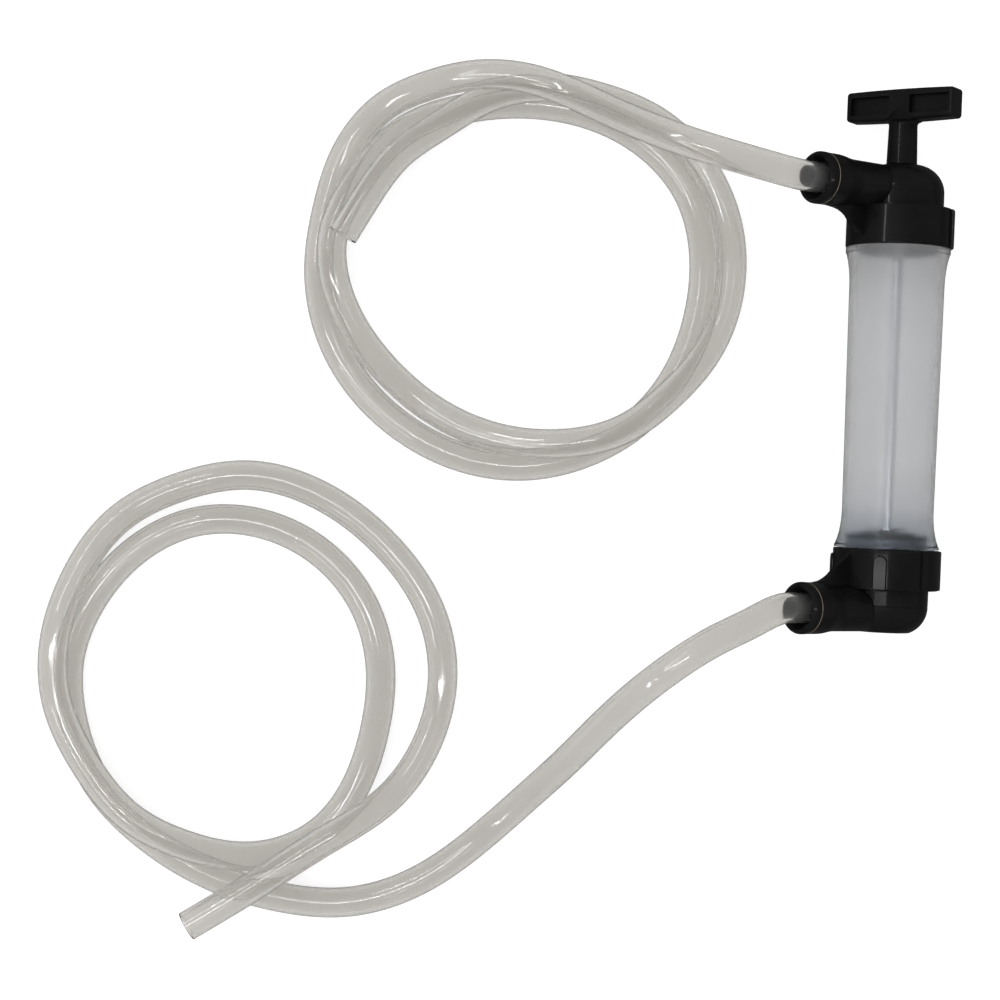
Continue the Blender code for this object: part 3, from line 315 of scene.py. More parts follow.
# ---------------------------------------------------------------- materials
def black_plastic():
    """Moulded plastic: a dark body with a faint uneven sheen under a thin gloss."""
    made, nodes, links, shader = new_material("black_plastic_moulded")
    broad = noise(nodes, links, 90.0)
    fine = noise(nodes, links, 2600.0, detail=2.0)
    links.new(tint(nodes, links, broad, (0.0036, 0.0036, 0.0038), (0.0056, 0.0056, 0.0058)),
              shader.inputs["Base Color"])
    links.new(spread(nodes, links, broad, 0.34, 0.42), shader.inputs["Roughness"])
    shader.inputs["Specular IOR Level"].default_value = 0.06
    shader.inputs["Coat Weight"].default_value = 0.1
    shader.inputs["Coat Roughness"].default_value = 0.1
    bump(nodes, links, shader, fine, strength=0.08, distance=0.00003)
    return made


def frosted_plastic():
    """Milky polypropylene: light goes through it, shapes behind it blur, and its colour is darkened near the
    caps as painted shade.
    """
    made, nodes, links, shader = new_material("frosted_plastic")
    broad = noise(nodes, links, 60.0)
    drawn = noise(nodes, links, 700.0, detail=2.0, stretch=(1.0, 0.08, 1.0))
    milk = tint(nodes, links, broad, (0.913, 0.926, 0.955), (0.944, 0.957, 0.985))
    # painted shade: darker towards both caps and bluish at the bottom, standing in for the black caps and
    # piston seen through the wall
    shade = up_the_barrel(nodes, links, [
        (0.0, (0.64, 0.69, 0.75)), (0.03, (0.72, 0.76, 0.82)), (0.07, (0.79, 0.81, 0.835)),
        (0.16, (0.94, 0.943, 0.95)), (0.3, grey(1.0)), (0.68, grey(1.0)), (0.81, grey(0.972)),
        (0.937, grey(0.888)), (1.0, grey(0.85))])
    links.new(times(nodes, links, milk, shade), shader.inputs["Base Color"])
    clearness = up_the_barrel(nodes, links, [
        (0.0, grey(0.97)), (0.045, grey(0.96)), (0.11, grey(0.88)), (1.0, grey(0.88))])
    links.new(clearness, shader.inputs["Transmission Weight"])
    wall = ((BARREL_BORE_R + 0.2) * MM, (BARREL_BORE_R + 1.0) * MM)
    links.new(ranged(nodes, links, off_the_axis(nodes, links), wall, (0.36, 0.23)),
              shader.inputs["Roughness"])
    shader.inputs["IOR"].default_value = 1.22
    bump(nodes, links, shader, drawn, strength=0.02, distance=0.00001)
    return made


def clear_hose():
    """Soft clear PVC with a wall that is not quite even."""
    made, nodes, links, shader = new_material("clear_hose")
    broad = noise(nodes, links, 45.0)
    links.new(tint(nodes, links, broad, (0.965, 0.957, 0.945), (0.985, 0.977, 0.965)),
              shader.inputs["Base Color"])
    links.new(spread(nodes, links, broad, 0.078, 0.09), shader.inputs["Roughness"])
    shader.inputs["Transmission Weight"].default_value = 0.96
    shader.inputs["IOR"].default_value = 1.5
    bump(nodes, links, shader, broad, strength=0.08, distance=0.0004)
    return made


def rubber(name, dark, light):
    """Matte rubber, its grey going unevenly from dark to light."""
    made, nodes, links, shader = new_material(name)
    fine = noise(nodes, links, 1500.0)
    links.new(tint(nodes, links, fine, grey(dark), grey(light)), shader.inputs["Base Color"])
    links.new(spread(nodes, links, fine, 0.65, 0.8), shader.inputs["Roughness"])
    return made


def painted_seam_highlight():
    """Mottled tan for the thin seam ring: a painted highlight along the flange's edge."""
    made, nodes, links, shader = new_material("painted_seam_highlight")
    fine = noise(nodes, links, 900.0)
    links.new(tint(nodes, links, fine, (0.13, 0.10, 0.07), (0.24, 0.19, 0.135)),
              shader.inputs["Base Color"])
    links.new(spread(nodes, links, fine, 0.45, 0.6), shader.inputs["Roughness"])
    return made


def steel():
    """Turned steel with fine rings round its axis."""
    made, nodes, links, shader = new_material("steel_turned")
    rings = noise(nodes, links, 1200.0, detail=2.0, stretch=(0.1, 1.0, 0.1))
    links.new(tint(nodes, links, rings, (0.82, 0.82, 0.83), (0.90, 0.90, 0.91)),
              shader.inputs["Base Color"])
    links.new(spread(nodes, links, rings, 0.16, 0.24), shader.inputs["Roughness"])
    shader.inputs["Metallic"].default_value = 0.55
    return made


# ---------------------------------------------------------------- mesh helpers
def link(obj):
    bpy.context.scene.collection.objects.link(obj)
    return obj


def applied(obj):
    """Turns the object's evaluated shape into its own mesh."""
    bpy.context.view_layer.update()
    depsgraph = bpy.context.evaluated_depsgraph_get()
    mesh = bpy.data.meshes.new_from_object(obj.evaluated_get(depsgraph))
    obj.modifiers.clear()
    obj.data = mesh
    return obj


def arc(center, radius, start, end, count):
    """Points on an arc in the (radius, height) plane; degrees, 0 is outward and 90 is up."""
    angles = np.radians(np.linspace(start, end, count))
    return [(center[0] + radius * math.cos(a), center[1] + radius * math.sin(a)) for a in angles]


def softened(profile, radius):
    """Rounds the corners of an outline of (x, y) points by about a radius, but not on the axis x = 0."""
    tiny = 1e-6
    slight_bend = 0.45          # radians
    edge_share = 0.45           # most of an edge that one corner takes
    count = len(profile)
    out = []
    for i, corner in enumerate(profile):
        before = Vector(profile[i - 1])
        here = Vector(corner)
        after = Vector(profile[(i + 1) % count])
        back = before - here
        ahead = after - here
        if (abs(here.x) < tiny or back.length < tiny or ahead.length < tiny
                or abs(math.pi - back.angle(ahead)) < slight_bend):
            out.append(tuple(here))
            continue
        reach = min(radius, back.length * edge_share, ahead.length * edge_share)
        start = here + back.normalized() * reach
        end = here + ahead.normalized() * reach
        for t in np.linspace(0.0, 1.0, 4):
            point = start.lerp(here, t).lerp(here.lerp(end, t), t)
            out.append(tuple(point))
    return out


def lathe(name, profile, steps, closed=True, sweep=360.0):
    """Turns (radius, height) points about Z; they run from top to bottom on the outer side."""
    mesh = bpy.data.meshes.new(name)
    edges = [(i, i + 1) for i in range(len(profile) - 1)]
    if closed:
        edges.append((len(profile) - 1, 0))
    mesh.from_pydata([(r * MM, 0.0, z * MM) for r, z in profile], edges, [])
    obj = link(bpy.data.objects.new(name, mesh))
    screw = obj.modifiers.new("turn", "SCREW")
    screw.angle = math.radians(sweep)
    screw.steps = steps
    screw.render_steps = steps
    screw.use_merge_vertices = True
    screw.merge_threshold = 0.000002
    return applied(obj)


def cylinder(name, radius, start, end, steps):
    """A solid cylinder about Z between two heights."""
    mesh = bpy.data.meshes.new(name)
    shape = bmesh.new()
    middle = Matrix.Translation((0.0, 0.0, (start + end) / 2.0 * MM))
    bmesh.ops.create_cone(shape, cap_ends=True, segments=steps, radius1=radius * MM, radius2=radius * MM,
                          depth=(end - start) * MM, matrix=middle)
    shape.to_mesh(mesh)
    shape.free()
    return link(bpy.data.objects.new(name, mesh))


def block(name, size, middle):
    """A box of a size about its middle."""
    mesh = bpy.data.meshes.new(name)
    shape = bmesh.new()
    scale = Matrix.Diagonal((*(side * MM for side in size), 1.0))
    place = Matrix.Translation([at * MM for at in middle])
    bmesh.ops.create_cube(shape, size=1.0, matrix=place @ scale)
    shape.to_mesh(mesh)
    shape.free()
    return link(bpy.data.objects.new(name, mesh))


def close_holes(obj):
    """Fills the open ends of a shape turned only part of the way round."""
    shape = bmesh.new()
    shape.from_mesh(obj.data)
    bmesh.ops.holes_fill(shape, edges=shape.edges, sides=0)
    bmesh.ops.recalc_face_normals(shape, faces=shape.faces)
    shape.to_mesh(obj.data)
    shape.free()
    return obj


def plate(name, outline, thickness):
    """A flat outline in XY, extruded to a thickness centred on Z = 0."""
    shape = bmesh.new()
    low = [shape.verts.new((x * MM, y * MM, -thickness * MM / 2.0)) for x, y in outline]
    face = shape.faces.new(low)
    grown = bmesh.ops.extrude_face_region(shape, geom=[face])
    raised = [v for v in grown["geom"] if isinstance(v, bmesh.types.BMVert)]
    bmesh.ops.translate(shape, verts=raised, vec=(0.0, 0.0, thickness * MM))
    bmesh.ops.recalc_face_normals(shape, faces=shape.faces)
    mesh = bpy.data.meshes.new(name)
    shape.to_mesh(mesh)
    shape.free()
    return link(bpy.data.objects.new(name, mesh))


def cut_and_join(base, joins, cuts):
    """Unions and differences applied to the base in turn; the tools are removed."""
    for tool, operation in [(t, "UNION") for t in joins] + [(t, "DIFFERENCE") for t in cuts]:
        made = base.modifiers.new(tool.name, "BOOLEAN")
        made.operation = operation
        made.solver = "EXACT"
        made.object = tool
    applied(base)
    for tool in joins + cuts:
        bpy.data.objects.remove(tool, do_unlink=True)
    return base


def rounded(obj, width, segments=2, angle=32.0):
    """Small rounding on every edge sharper than the angle, in degrees."""
    shape = bmesh.new()
    shape.from_mesh(obj.data)
    bmesh.ops.remove_doubles(shape, verts=shape.verts, dist=0.00002)
    bmesh.ops.dissolve_degenerate(shape, edges=shape.edges, dist=0.00001)
    shape.to_mesh(obj.data)
    shape.free()
    bevel = obj.modifiers.new("rounding", "BEVEL")
    bevel.width = width * MM
    bevel.segments = segments
    bevel.limit_method = "ANGLE"
    bevel.angle_limit = math.radians(angle)
    bevel.use_clamp_overlap = True
    bevel.loop_slide = False
    return applied(obj)


def laid(obj, local=Matrix()):
    """Moves a piece built in the upright frame to where the pump lies, in its mesh."""
    obj.data.transform(LAID @ local @ obj.matrix_basis)
    obj.matrix_basis = Matrix()
    return obj


def finish_piece(obj, material, body, nodes=(), angle=28.0):
    """Smooth shading, material, body and the CAD nodes that the piece stands for."""
    obj.data.materials.clear()
    obj.data.materials.append(material)
    obj.data.polygons.foreach_set("use_smooth", [True] * len(obj.data.polygons))
    obj.data.polygons.foreach_set("material_index", [0] * len(obj.data.polygons))
    obj.data.set_sharp_from_angle(angle=math.radians(angle))
    flat = obj.modifiers.new("flat_faces_stay_flat", "WEIGHTED_NORMAL")
    flat.weight = 75
    flat.keep_sharp = True
    applied(obj)
    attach(obj, body)
    if nodes:
        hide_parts(*nodes)
    return obj


# ---------------------------------------------------------------- hoses
def about_port(height):
    """Frame of a port in the pump's upright frame: Z runs out along the port from the axis."""
    out = Vector((-math.sin(PORT_AZIMUTH), -math.cos(PORT_AZIMUTH), 0.0))
    up = Vector((0.0, 0.0, 1.0))
    made = Matrix((up, up.cross(out), out)).transposed().to_4x4()
    made.translation = (0.0, 0.0, height * MM)
    return made


def smooth_route(points, step):
    """Points about a step apart on the natural cubic spline through the given ones."""
    given = np.array(points, dtype=float)
    knots = np.concatenate(([0.0], np.cumsum(np.linalg.norm(np.diff(given, axis=0), axis=1))))
    spans = np.diff(knots)
    last = len(given) - 1
    system = np.eye(last + 1)
    right = np.zeros_like(given)
    slopes = np.diff(given, axis=0) / spans[:, None]
    for i in range(1, last):
        system[i, i - 1:i + 2] = (spans[i - 1], 2.0 * (spans[i - 1] + spans[i]), spans[i])
        right[i] = 6.0 * (slopes[i] - slopes[i - 1])
    curve = np.linalg.solve(system, right)
    out = []
    for t in np.linspace(0.0, knots[-1], int(knots[-1] / step)):
        i = min(int(np.searchsorted(knots, t, side="right")) - 1, last - 1)
        h = spans[i]
        a = (knots[i + 1] - t) / h
        b = (t - knots[i]) / h
        out.append(a * given[i] + b * given[i + 1]
                   + ((a ** 3 - a) * curve[i] + (b ** 3 - b) * curve[i + 1]) * h * h / 6.0)
    return np.array(out)


def tube_mesh(name, path, outer, inner, sides):
    """A hollow tube along a path: outer wall, inner wall and the two cut ends with softened rims."""
    tangents = np.gradient(path, axis=0)
    tangents /= np.linalg.norm(tangents, axis=1)[:, None]
    normal = np.cross(tangents[0], (0.0, 0.0, 1.0))
    normal /= np.linalg.norm(normal)
    angles = np.linspace(0.0, 2.0 * math.pi, sides, endpoint=False)
    frames = []
    for tangent in tangents:
        normal = normal - tangent * np.dot(normal, tangent)
        normal /= np.linalg.norm(normal)
        frames.append((normal.copy(), np.cross(tangent, normal)))

    def ring(index, radius):
        n, b = frames[index]
        return path[index] + radius * (np.cos(angles)[:, None] * n + np.sin(angles)[:, None] * b)

    rim = (outer - inner) * 0.12
    near = tangents[0] * rim
    far = tangents[-1] * rim
    last = len(path) - 1
    rings = [ring(0, outer - rim), ring(0, outer) + near]
    rings += [ring(i, outer) for i in range(1, last)]
    rings += [ring(last, outer) - far, ring(last, outer - rim), ring(last, inner + rim),
              ring(last, inner) - far]
    rings += [ring(i, inner) for i in range(last - 1, 0, -1)]
    rings += [ring(0, inner) + near, ring(0, inner + rim)]
    faces = []
    for r in range(len(rings)):
        following = (r + 1) % len(rings)
        for s in range(sides):
            t = (s + 1) % sides
            faces.append((r * sides + s, r * sides + t, following * sides + t, following * sides + s))
    mesh = bpy.data.meshes.new(name)
    mesh.from_pydata([tuple(v) for v in np.concatenate(rings)], [], faces)
    obj = link(bpy.data.objects.new(name, mesh))
    shape = bmesh.new()
    shape.from_mesh(mesh)
    bmesh.ops.recalc_face_normals(shape, faces=shape.faces)
    shape.to_mesh(mesh)
    shape.free()
    return obj


def hose(name, node, route, height, material):
    """One clear hose from its connector's well to its bare cut end."""
    port = LAID @ about_port(height)
    straight = [tuple(port @ Vector((0.0, 0.0, reach * MM)))
                for reach in (HOSE_START + FIT, FLANGE_FACE, FLANGE_FACE + HOSE_R)]
    path = smooth_route(straight + [(x * MM, y * MM, z * MM) for x, y, z in route], HOSE_STEP)
    tube = tube_mesh(name, path, HOSE_R * MM, HOSE_BORE_R * MM, HOSE_SIDES)
    finish_piece(tube, material, BODY, [node], angle=40.0)
    return tube


# ---------------------------------------------------------------- caps
def cap_frame(flipped, height):
    """A cap's own frame: +X towards its port, +Z from its closed end to its open end."""
    turn = Matrix.Rotation(-math.pi / 2.0 - PORT_AZIMUTH, 4, "Z")
    if flipped:
        turn = turn @ Matrix.Rotation(math.pi, 4, "X")
    return Matrix.Translation((0.0, 0.0, height * MM)) @ turn


def shell(name, levels, closed_end):
    """Body and skirt of a cap as one solid of revolution with softened edges, closed end down."""
    low, high = levels
    outline = [(0.0, high), (SKIRT_R, high), (SKIRT_R, low), (BODY_R, low)]
    outline = softened(outline + [closed_end[0]], 0.6)[:-1]
    return lathe(name, outline + closed_end, ROUND, closed=False)


def pad(name, levels, low_angle, high_angle):
    """A raised grip sector of the skirt."""
    low = levels[0] + PAD_INSET
    high = levels[1] - PAD_INSET
    outline = softened([(ROOT_R, high), (PAD_R, high), (PAD_R, low), (ROOT_R, low)], 0.7)
    steps = round(ROUND * (high_angle - low_angle) / 360.0)
    made = close_holes(lathe(name, outline, steps, sweep=high_angle - low_angle))
    made.data.transform(Matrix.Rotation(math.radians(low_angle), 4, "Z"))
    return made


def rib(name, angle):
    """A rib with a round end, standing out from the bottom cap's skirt."""
    half = RIB_HALF_WIDTH
    start = BOTTOM_LEVELS[0] - 0.1
    end = BOTTOM_LEVELS[0] + RIB_LENGTH - half
    outline = [(start, -half)] + arc((end, 0.0), half, -90.0, 90.0, 24) + [(start, half)]
    made = rounded(plate(name, outline, RIB_R - ROOT_R), 0.55, segments=3, angle=40.0)
    upright = Matrix(((0, 0, 1, 0), (0, -1, 0, 0), (1, 0, 0, 0), (0, 0, 0, 1)))
    made.data.transform(Matrix.Rotation(math.radians(angle), 4, "Z")
                        @ Matrix.Translation(((RIB_R + ROOT_R) / 2.0 * MM, 0.0, 0.0)) @ upright)
    return made


def web(edge, port_level):
    """The gusset between the skirt and the port tube, in the plane of the port and the axis."""
    outline = [(CHAMBER_R, port_level), (edge[-1][0], port_level)] + edge[::-1] + [(CHAMBER_R, edge[0][1])]
    made = plate("web", outline, WEB_THICKNESS)
    made.data.transform(Matrix.Rotation(math.pi / 2.0, 4, "X"))
    return made


def towards_port(obj, level):
    """Turns a piece that runs up Z to run out along +X, at a port's level."""
    obj.data.transform(Matrix.Translation((0.0, 0.0, level * MM)) @ Matrix.Rotation(math.pi / 2.0, 4, "Y"))
    return obj


def port_tube(level):
    """Outside of a port: a round tube that widens to a collar at its mouth."""
    collar = PORT_END - PORT_COLLAR_LENGTH
    outline = [(0.0, PORT_END), (PORT_COLLAR_R - PORT_CHAMFER, PORT_END),
               (PORT_COLLAR_R, PORT_END - PORT_CHAMFER), (PORT_COLLAR_R, collar)]
    for share in np.linspace(0.1, 1.0, 10):
        eased = share * share * (3.0 - 2.0 * share)
        radius = PORT_COLLAR_R + (PORT_R - PORT_COLLAR_R) * eased
        outline.append((radius, collar - PORT_TAPER_LENGTH * share))
    outline += [(PORT_R, CHAMBER_R / 2.0), (0.0, CHAMBER_R / 2.0)]
    return towards_port(lathe("tube", outline, FINE, closed=False), level)


def port_bore(level):
    """Inside of a port: the connector's bore and the passage into the cap."""
    shoulder = PORT_END - PORT_BORE_DEPTH
    past = PORT_END + PORT_R
    outline = [(0.0, past), (PORT_BORE_R, past), (PORT_BORE_R, shoulder), (PASSAGE_R, shoulder),
               (PASSAGE_R, CHAMBER_R / 2.0), (0.0, CHAMBER_R / 2.0)]
    return towards_port(lathe("bore", outline, FINE, closed=False), level)


def bottom_cap(material):
    """Cap with the flat foot, the inlet port, the foot valve's seat, two pads and two ribs."""
    rise = math.sqrt(DOME_ARC_R ** 2 - (FOOT_R - BODY_R + DOME_ARC_R) ** 2)
    center = (BODY_R - DOME_ARC_R, FOOT_LEVEL + rise)
    foot_angle = -math.degrees(math.asin(rise / DOME_ARC_R))
    closed_end = arc(center, DOME_ARC_R, 0.0, foot_angle, 24) + [(0.0, FOOT_LEVEL)]
    body = shell("bottom_cap_fine", BOTTOM_LEVELS, closed_end)
    joins = [port_tube(INLET_HEIGHT), web(BOTTOM_WEB_EDGE, INLET_HEIGHT),
             pad("pad_a", BOTTOM_LEVELS, 85.0, 155.0), pad("pad_b", BOTTOM_LEVELS, -155.0, -85.0),
             rib("rib_a", 37.5), rib("rib_b", -37.5)]

    inner_arc = DOME_ARC_R - BODY_WALL
    ceiling = 14.9              # the chamber below the valve's plate
    chamber_floor = FOOT_LEVEL + 3.0
    floor_angle = -math.degrees(math.asin((center[1] - chamber_floor) / inner_arc))
    chamber = [(0.0, ceiling), (CHAMBER_R, ceiling)] + arc(center, inner_arc, 0.0, floor_angle, 10)
    chamber.append((0.0, chamber_floor))
    seat_r, seat_rim_r, seat_top = 5.0, 6.2, 17.2
    plate_top, socket_floor = 16.9, 22.0
    below_plate = ceiling - 0.4
    socket = [(0.0, PAST_SKIRT), (SOCKET_R, PAST_SKIRT), (SOCKET_R, socket_floor),
              (CHAMBER_R, socket_floor), (CHAMBER_R, plate_top), (seat_rim_r, plate_top),
              (seat_rim_r, seat_top), (seat_r, seat_top), (seat_r, below_plate), (0.0, below_plate)]
    cuts = [lathe("chamber", chamber, ROUND, closed=False), lathe("socket", socket, ROUND, closed=False),
            port_bore(INLET_HEIGHT)]
    cut_and_join(body, joins, cuts)
    rounded(body, MOULDED_EDGE)
    laid(body, cap_frame(False, 0.0))
    return finish_piece(body, material, BODY, ["bottom_cap"])


def top_cap(material):
    """Domed cap with the outlet port, the rod's gland and two pads."""
    center = (BODY_R - DOME_ARC_R, DOME_ARC_R)
    body = shell("top_cap_fine", TOP_LEVELS, arc(center, DOME_ARC_R, 0.0, -90.0, 30) + [(0.0, 0.0)])
    joins = [port_tube(OUTLET_DROP), web(TOP_WEB_EDGE, OUTLET_DROP),
             pad("pad_a", TOP_LEVELS, 116.5, 155.0), pad("pad_b", TOP_LEVELS, -155.0, -116.5)]

    inner_arc = DOME_ARC_R - BODY_WALL
    hub_r, hub_end, socket_floor = 8.0, 12.0, 25.3
    hub_angle = -math.degrees(math.acos((hub_r - center[0]) / inner_arc))
    cavity = [(0.0, PAST_SKIRT), (SOCKET_R, PAST_SKIRT), (SOCKET_R, socket_floor), (CHAMBER_R, socket_floor)]
    cavity += arc(center, inner_arc, 0.0, hub_angle, 10) + [(hub_r, hub_end), (0.0, hub_end)]
    gland_r, gland_floor, outside = 6.0, 5.0, -5.0
    gland = [(0.0, hub_end + 2.0), (gland_r, hub_end + 2.0), (gland_r, gland_floor),
             (ROD_HOLE_R, gland_floor), (ROD_HOLE_R, outside), (0.0, outside)]
    cuts = [lathe("cavity", cavity, ROUND, closed=False), lathe("gland", gland, FINE, closed=False),
            port_bore(OUTLET_DROP)]
    cut_and_join(body, joins, cuts)
    rounded(body, MOULDED_EDGE)
    laid(body, cap_frame(True, DOME_TOP))
    return finish_piece(body, material, BODY, ["top_cap"])


# ---------------------------------------------------------------- barrel
def flare(run_r, start, way, lip):
    """Outside of the barrel from its band at one cap, a lip high, in a falling curve to its plain run."""
    step_in, step_up, length, steepness = 0.3, 0.25, 16.0, 2.6
    edge_r = BARREL_BAND_R - step_in
    points = [(BARREL_BAND_R, start), (BARREL_BAND_R, start + way * lip)]
    for share in np.linspace(0.0, 1.0, 20):
        radius = run_r + (edge_r - run_r) * (1.0 - share) ** steepness
        points.append((radius, start + way * (lip + step_up + length * share)))
    return points


def barrel(material):
    """Frosted barrel: a plain tube that flares to a band at each cap, with a neck inside each."""
    bottom, top = BARREL_SPAN
    neck_top = top + BARREL_TOP_NECK
    top_run_r, bottom_run_r = 19.9, 19.2
    outline = [(BARREL_BORE_R, neck_top), (BARREL_NECK_R, neck_top), (BARREL_NECK_R, top - FIT)]
    outline += flare(top_run_r, top - FIT, -1.0, lip=2.1)
    outline += flare(bottom_run_r, bottom + FIT, 1.0, lip=1.0)[::-1]
    outline += [(BARREL_NECK_R, bottom + FIT), (BARREL_NECK_R, BARREL_BOTTOM),
                (BARREL_BORE_R, BARREL_BOTTOM)]
    tube = lathe("barrel_fine", softened(outline, 0.25), ROUND)
    laid(tube)
    return finish_piece(tube, material, BODY, ["barrel"])


# ---------------------------------------------------------------- hose connectors
def connector(name, node, height, material):
    """Flanged plug with a well for the hose, a nipple in its middle and a bore right through."""
    bore_r, tip_r, nipple_r, tip = 3.0, 3.9, 4.3, 55.0
    well_r, well_rim_r, well_taper = 6.65, 8.85, 48.0
    edge, flange_back = 1.4, 47.0
    groove_r, groove_near, groove_far, inner_end = 6.0, 37.0, 39.0, 34.0
    outline = [(bore_r, tip), (tip_r, tip), (nipple_r, FLANGE_FACE), (nipple_r, HOSE_START),
               (well_r, HOSE_START), (well_r, well_taper), (well_rim_r, FLANGE_FACE),
               (FLANGE_R - edge, FLANGE_FACE), (FLANGE_R, FLANGE_FACE - edge), (FLANGE_R, flange_back),
               (PLUG_R, flange_back), (PLUG_R, groove_far), (groove_r, groove_far), (groove_r, groove_near),
               (PLUG_R, groove_near), (PLUG_R, inner_end), (bore_r, inner_end)]
    body = lathe(name, softened(outline, 0.45), FINE)
    laid(body, about_port(height))
    return finish_piece(body, material, BODY, [node])


def seam_highlight_ring(name, height, material):
    """Thin tan ring between a connector's flange and the port's collar, a painted highlight along the seam.
    """
    inner, outer = 7.8, PORT_COLLAR_R + 0.06
    near, far = PORT_END + 0.03, PORT_END + 0.27
    ring = lathe(name, [(inner, far), (outer, far), (outer, near), (inner, near)], FINE)
    laid(ring, about_port(height))
    return finish_piece(ring, material, BODY)


# ---------------------------------------------------------------- handle and rod
def handle_bar(middle):
    """The crossbar about a height, its long edges slightly crowned."""
    end, half = BAR_LENGTH / 2.0, BAR_HEIGHT / 2.0
    lower = [(x, -half + BAR_CROWN * (x / end) ** 2) for x in np.linspace(-end, end, 13)]
    upper = [(x, half - BAR_CROWN * (x / end) ** 2) for x in np.linspace(end, -end, 13)]
    bar = plate("handle_fine", lower + upper, BAR_DEPTH)
    bar.data.transform(Matrix.Translation((0.0, 0.0, middle * MM)) @ Matrix.Rotation(math.pi / 2.0, 4, "X"))
    return rounded(bar, 1.5, segments=5, angle=30.0)


def handle_stem(middle):
    """Round stem from the top cap up into the bar, with a fillet under the bar."""
    fillet_start, fillet, widest, foot_r = 6.0, 2.0, 7.8, 6.45
    curve = arc((fillet_start + fillet, BAR_BOTTOM - fillet), -fillet, -90.0, 0.0, 12)
    outline = [(0.0, middle), (3.5, middle)] + [(min(r, widest), z) for r, z in curve]
    outline += [(foot_r, DOME_TOP + FIT), (0.0, DOME_TOP + FIT)]
    return lathe("stem", outline, FINE, closed=False)


def handle(material):
    """T-handle: a crossbar with two pockets in each face, on a stem that takes the rod."""
    middle = BAR_BOTTOM + BAR_HEIGHT / 2.0
    bar = handle_bar(middle)
    inner, outer = 4.7, BAR_LENGTH / 2.0 - 2.2
    pocket = (outer - inner, 6.0, 7.6)
    cuts = [block("pocket", pocket, (side * (inner + outer) / 2.0, face * BAR_DEPTH / 2.0, middle))
            for side in (-1.0, 1.0) for face in (-1.0, 1.0)]
    stem = handle_stem(middle)
    cuts.append(cylinder("rod_hole", ROD_HOLE_R, DOME_TOP - 3.0, BAR_BOTTOM + ROD_IN_BAR + FIT, ROD_STEPS))
    cut_and_join(bar, [stem], cuts)
    rounded(bar, MOULDED_EDGE)
    laid(bar, Matrix.Rotation(math.radians(BAR_TURN), 4, "Z"))
    return finish_piece(bar, material, "handle_and_rod", ["handle"])


def rod(material):
    """Steel rod from inside the handle's bar to the thin end that holds the piston."""
    rod_r, thin_r = 2.5, 2.0
    top, shoulder, low = BAR_BOTTOM + ROD_IN_BAR, 43.1, 27.2
    outline = [(0.0, top), (rod_r, top), (rod_r, shoulder), (thin_r, shoulder), (thin_r, low), (0.0, low)]
    shaft = lathe("rod_fine", softened(outline, 0.3), ROD_STEPS, closed=False)
    laid(shaft)
    return finish_piece(shaft, material, "handle_and_rod", ["piston_rod"])


def piston_lip(material):
    """Thin wiper edge of the piston, all but touching the barrel's bore."""
    low, high = 38.1, 39.0
    inner, outer = 15.9, BARREL_BORE_R - 0.1
    ring = lathe("piston_lip", [(inner, high), (outer, high), (outer, low), (inner, low)], ROUND)
    laid(ring)
    return finish_piece(ring, material, "plunger")


def dress_cad_nodes(looks, pale_rubber):
    """Gives each CAD node that stays its own procedural material and smooth round faces."""
    slots = {row["node"]: row["material_slot"] for row in frame["record"]["subparts"]}
    for name, node in frame["nodes"].items():
        if node.hide_render:
            continue
        node.data.materials.clear()
        node.data.materials.append(pale_rubber if name in PALE_NODES else looks[slots[name]])
        node.data.polygons.foreach_set("use_smooth", [True] * len(node.data.polygons))
        node.data.set_sharp_from_angle(angle=math.radians(25.0))


# ---------------------------------------------------------------- camera, light and floor
def camera():
    """Straight down from a little over a metre, a little left of the pump and slightly turned."""
    data = bpy.data.cameras.new("camera")
    data.sensor_width = 36.0
    data.lens = CAMERA_LENS
    data.clip_start = 0.01
    eye = link(bpy.data.objects.new("camera", data))
    eye.location = CAMERA_PLACE
    eye.rotation_euler = (0.0, 0.0, math.radians(CAMERA_TURN))
    bpy.context.scene.camera = eye


def world_light():
    """Even white light all round, weaker in reflections and warm grey through clear plastic."""
    world = bpy.data.worlds.new("world")
    bpy.context.scene.world = world
    world.use_nodes = True
    nodes = world.node_tree.nodes
    links = world.node_tree.links
    background = nodes["Background"]
    path = nodes.new("ShaderNodeLightPath")
    colour = tint_by(nodes, links, path.outputs["Is Transmission Ray"], grey(1.0), WORLD_THROUGH)
    links.new(colour, background.inputs["Color"])
    reflected = ranged(nodes, links, path.outputs["Is Glossy Ray"], (0.0, 1.0), (1.0, WORLD_REFLECTED))
    scattered = ranged(nodes, links, path.outputs["Is Diffuse Ray"], (0.0, 1.0), (1.0, WORLD_SCATTERED))
    both = nodes.new("ShaderNodeMath")
    both.operation = "MULTIPLY"
    links.new(reflected, both.inputs[0])
    links.new(scattered, both.inputs[1])
    links.new(both.outputs["Value"], background.inputs["Strength"])


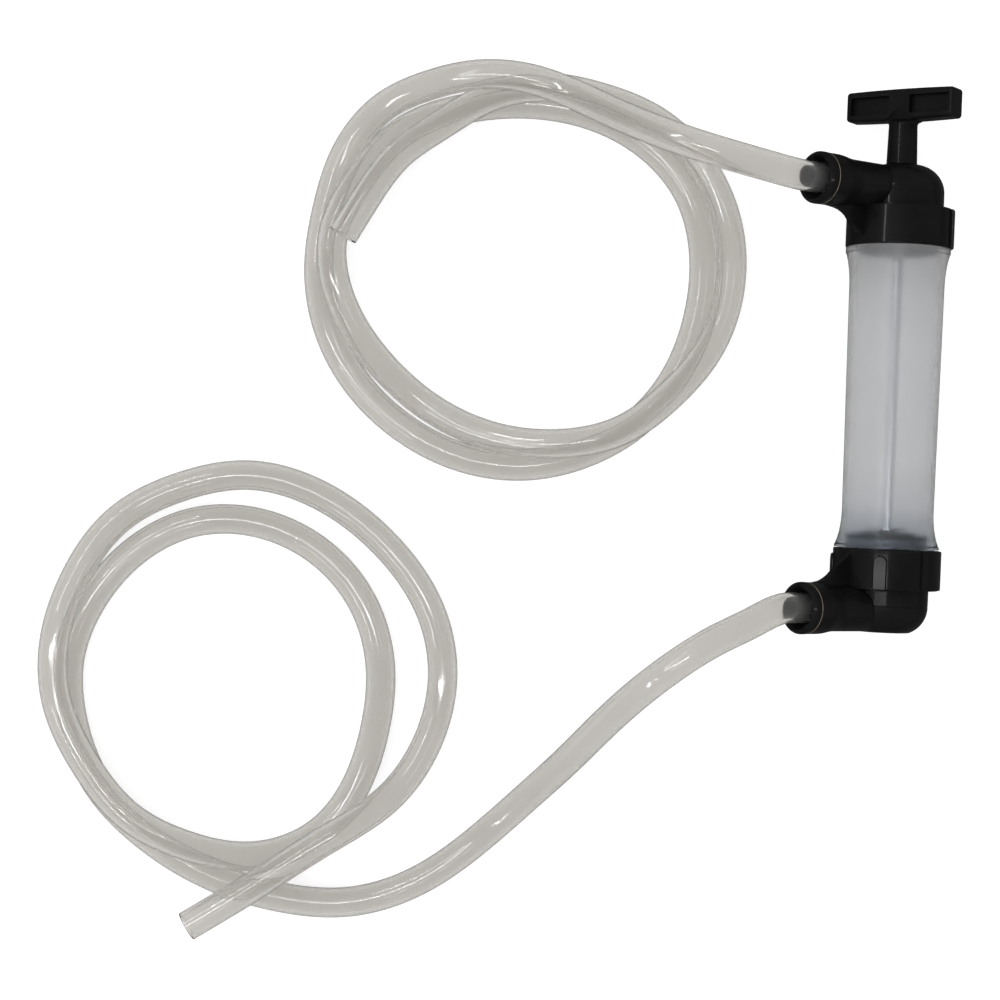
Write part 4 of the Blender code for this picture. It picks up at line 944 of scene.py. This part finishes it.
def floor():
    """Pale floor that keeps the pump's shadow, darker where plastic shows or reflects it."""
    mesh = bpy.data.meshes.new("floor")
    shape = bmesh.new()
    bmesh.ops.create_grid(shape, x_segments=1, y_segments=1, size=FLOOR_SIZE)
    shape.to_mesh(mesh)
    shape.free()
    ground = link(bpy.data.objects.new("floor", mesh))
    ground.location = (0.0, 0.0, FLOOR_LEVEL)

    paper, nodes, links, shader = new_material("floor_paper")
    shader.inputs["Roughness"].default_value = 0.9
    path = nodes.new("ShaderNodeLightPath")
    indirect = nodes.new("ShaderNodeMath")
    indirect.operation = "MAXIMUM"
    links.new(path.outputs["Is Transmission Ray"], indirect.inputs[0])
    links.new(path.outputs["Is Glossy Ray"], indirect.inputs[1])
    colour = tint_by(nodes, links, indirect.outputs["Value"], grey(FLOOR_COLOUR), grey(FLOOR_COLOUR_BEHIND))
    links.new(colour, shader.inputs["Base Color"])
    through = tint_by(nodes, links, path.outputs["Is Transmission Ray"], grey(0.0), FLOOR_GLOW_THROUGH)
    glow = tint_by(nodes, links, path.outputs["Is Camera Ray"], through, grey(FLOOR_GLOW))
    links.new(glow, shader.inputs["Emission Color"])
    shader.inputs["Emission Strength"].default_value = 1.0
    mesh.materials.append(paper)


def studio():
    """White floor, pale world and three long narrow lamps, whose reflections run along the pump."""
    bpy.context.scene.view_settings.view_transform = "Standard"
    world_light()
    floor()
    for name, place, target, size, power in STRIP_LAMPS:
        data = bpy.data.lights.new(name, "AREA")
        data.shape = "RECTANGLE"
        data.size, data.size_y = size
        data.energy = power
        lamp = link(bpy.data.objects.new(name, data))
        lamp.location = place
        lamp.rotation_euler = (Vector(target) - Vector(place)).to_track_quat("-Z", "Y").to_euler()


# ---------------------------------------------------------------- the scene
camera()
LOOKS = {
    "black_plastic": black_plastic(),
    "frosted_plastic": frosted_plastic(),
    "clear_hose": clear_hose(),
    "black_rubber": rubber("rubber_matte", 0.016, 0.026),
    "steel": steel(),
}
hose("inlet_hose_clear", "inlet_hose", INLET_ROUTE, INLET_HEIGHT, LOOKS["clear_hose"])
hose("outlet_hose_clear", "outlet_hose", OUTLET_ROUTE, OUTLET_HEIGHT, LOOKS["clear_hose"])
bottom_cap(LOOKS["black_plastic"])
top_cap(LOOKS["black_plastic"])
barrel(LOOKS["frosted_plastic"])
connector("inlet_connector_fine", "inlet_connector", INLET_HEIGHT, LOOKS["black_plastic"])
connector("outlet_connector_fine", "outlet_connector", OUTLET_HEIGHT, LOOKS["black_plastic"])
# tan rings at the port seams: painted highlight along each flange's edge
SEAM_HIGHLIGHT = painted_seam_highlight()
seam_highlight_ring("inlet_seam_highlight", INLET_HEIGHT, SEAM_HIGHLIGHT)
seam_highlight_ring("outlet_seam_highlight", OUTLET_HEIGHT, SEAM_HIGHLIGHT)
handle(LOOKS["black_plastic"])
rod(LOOKS["steel"])
piston_lip(LOOKS["black_rubber"])
dress_cad_nodes(LOOKS, rubber("rubber_grey", 0.24, 0.32))
studio()
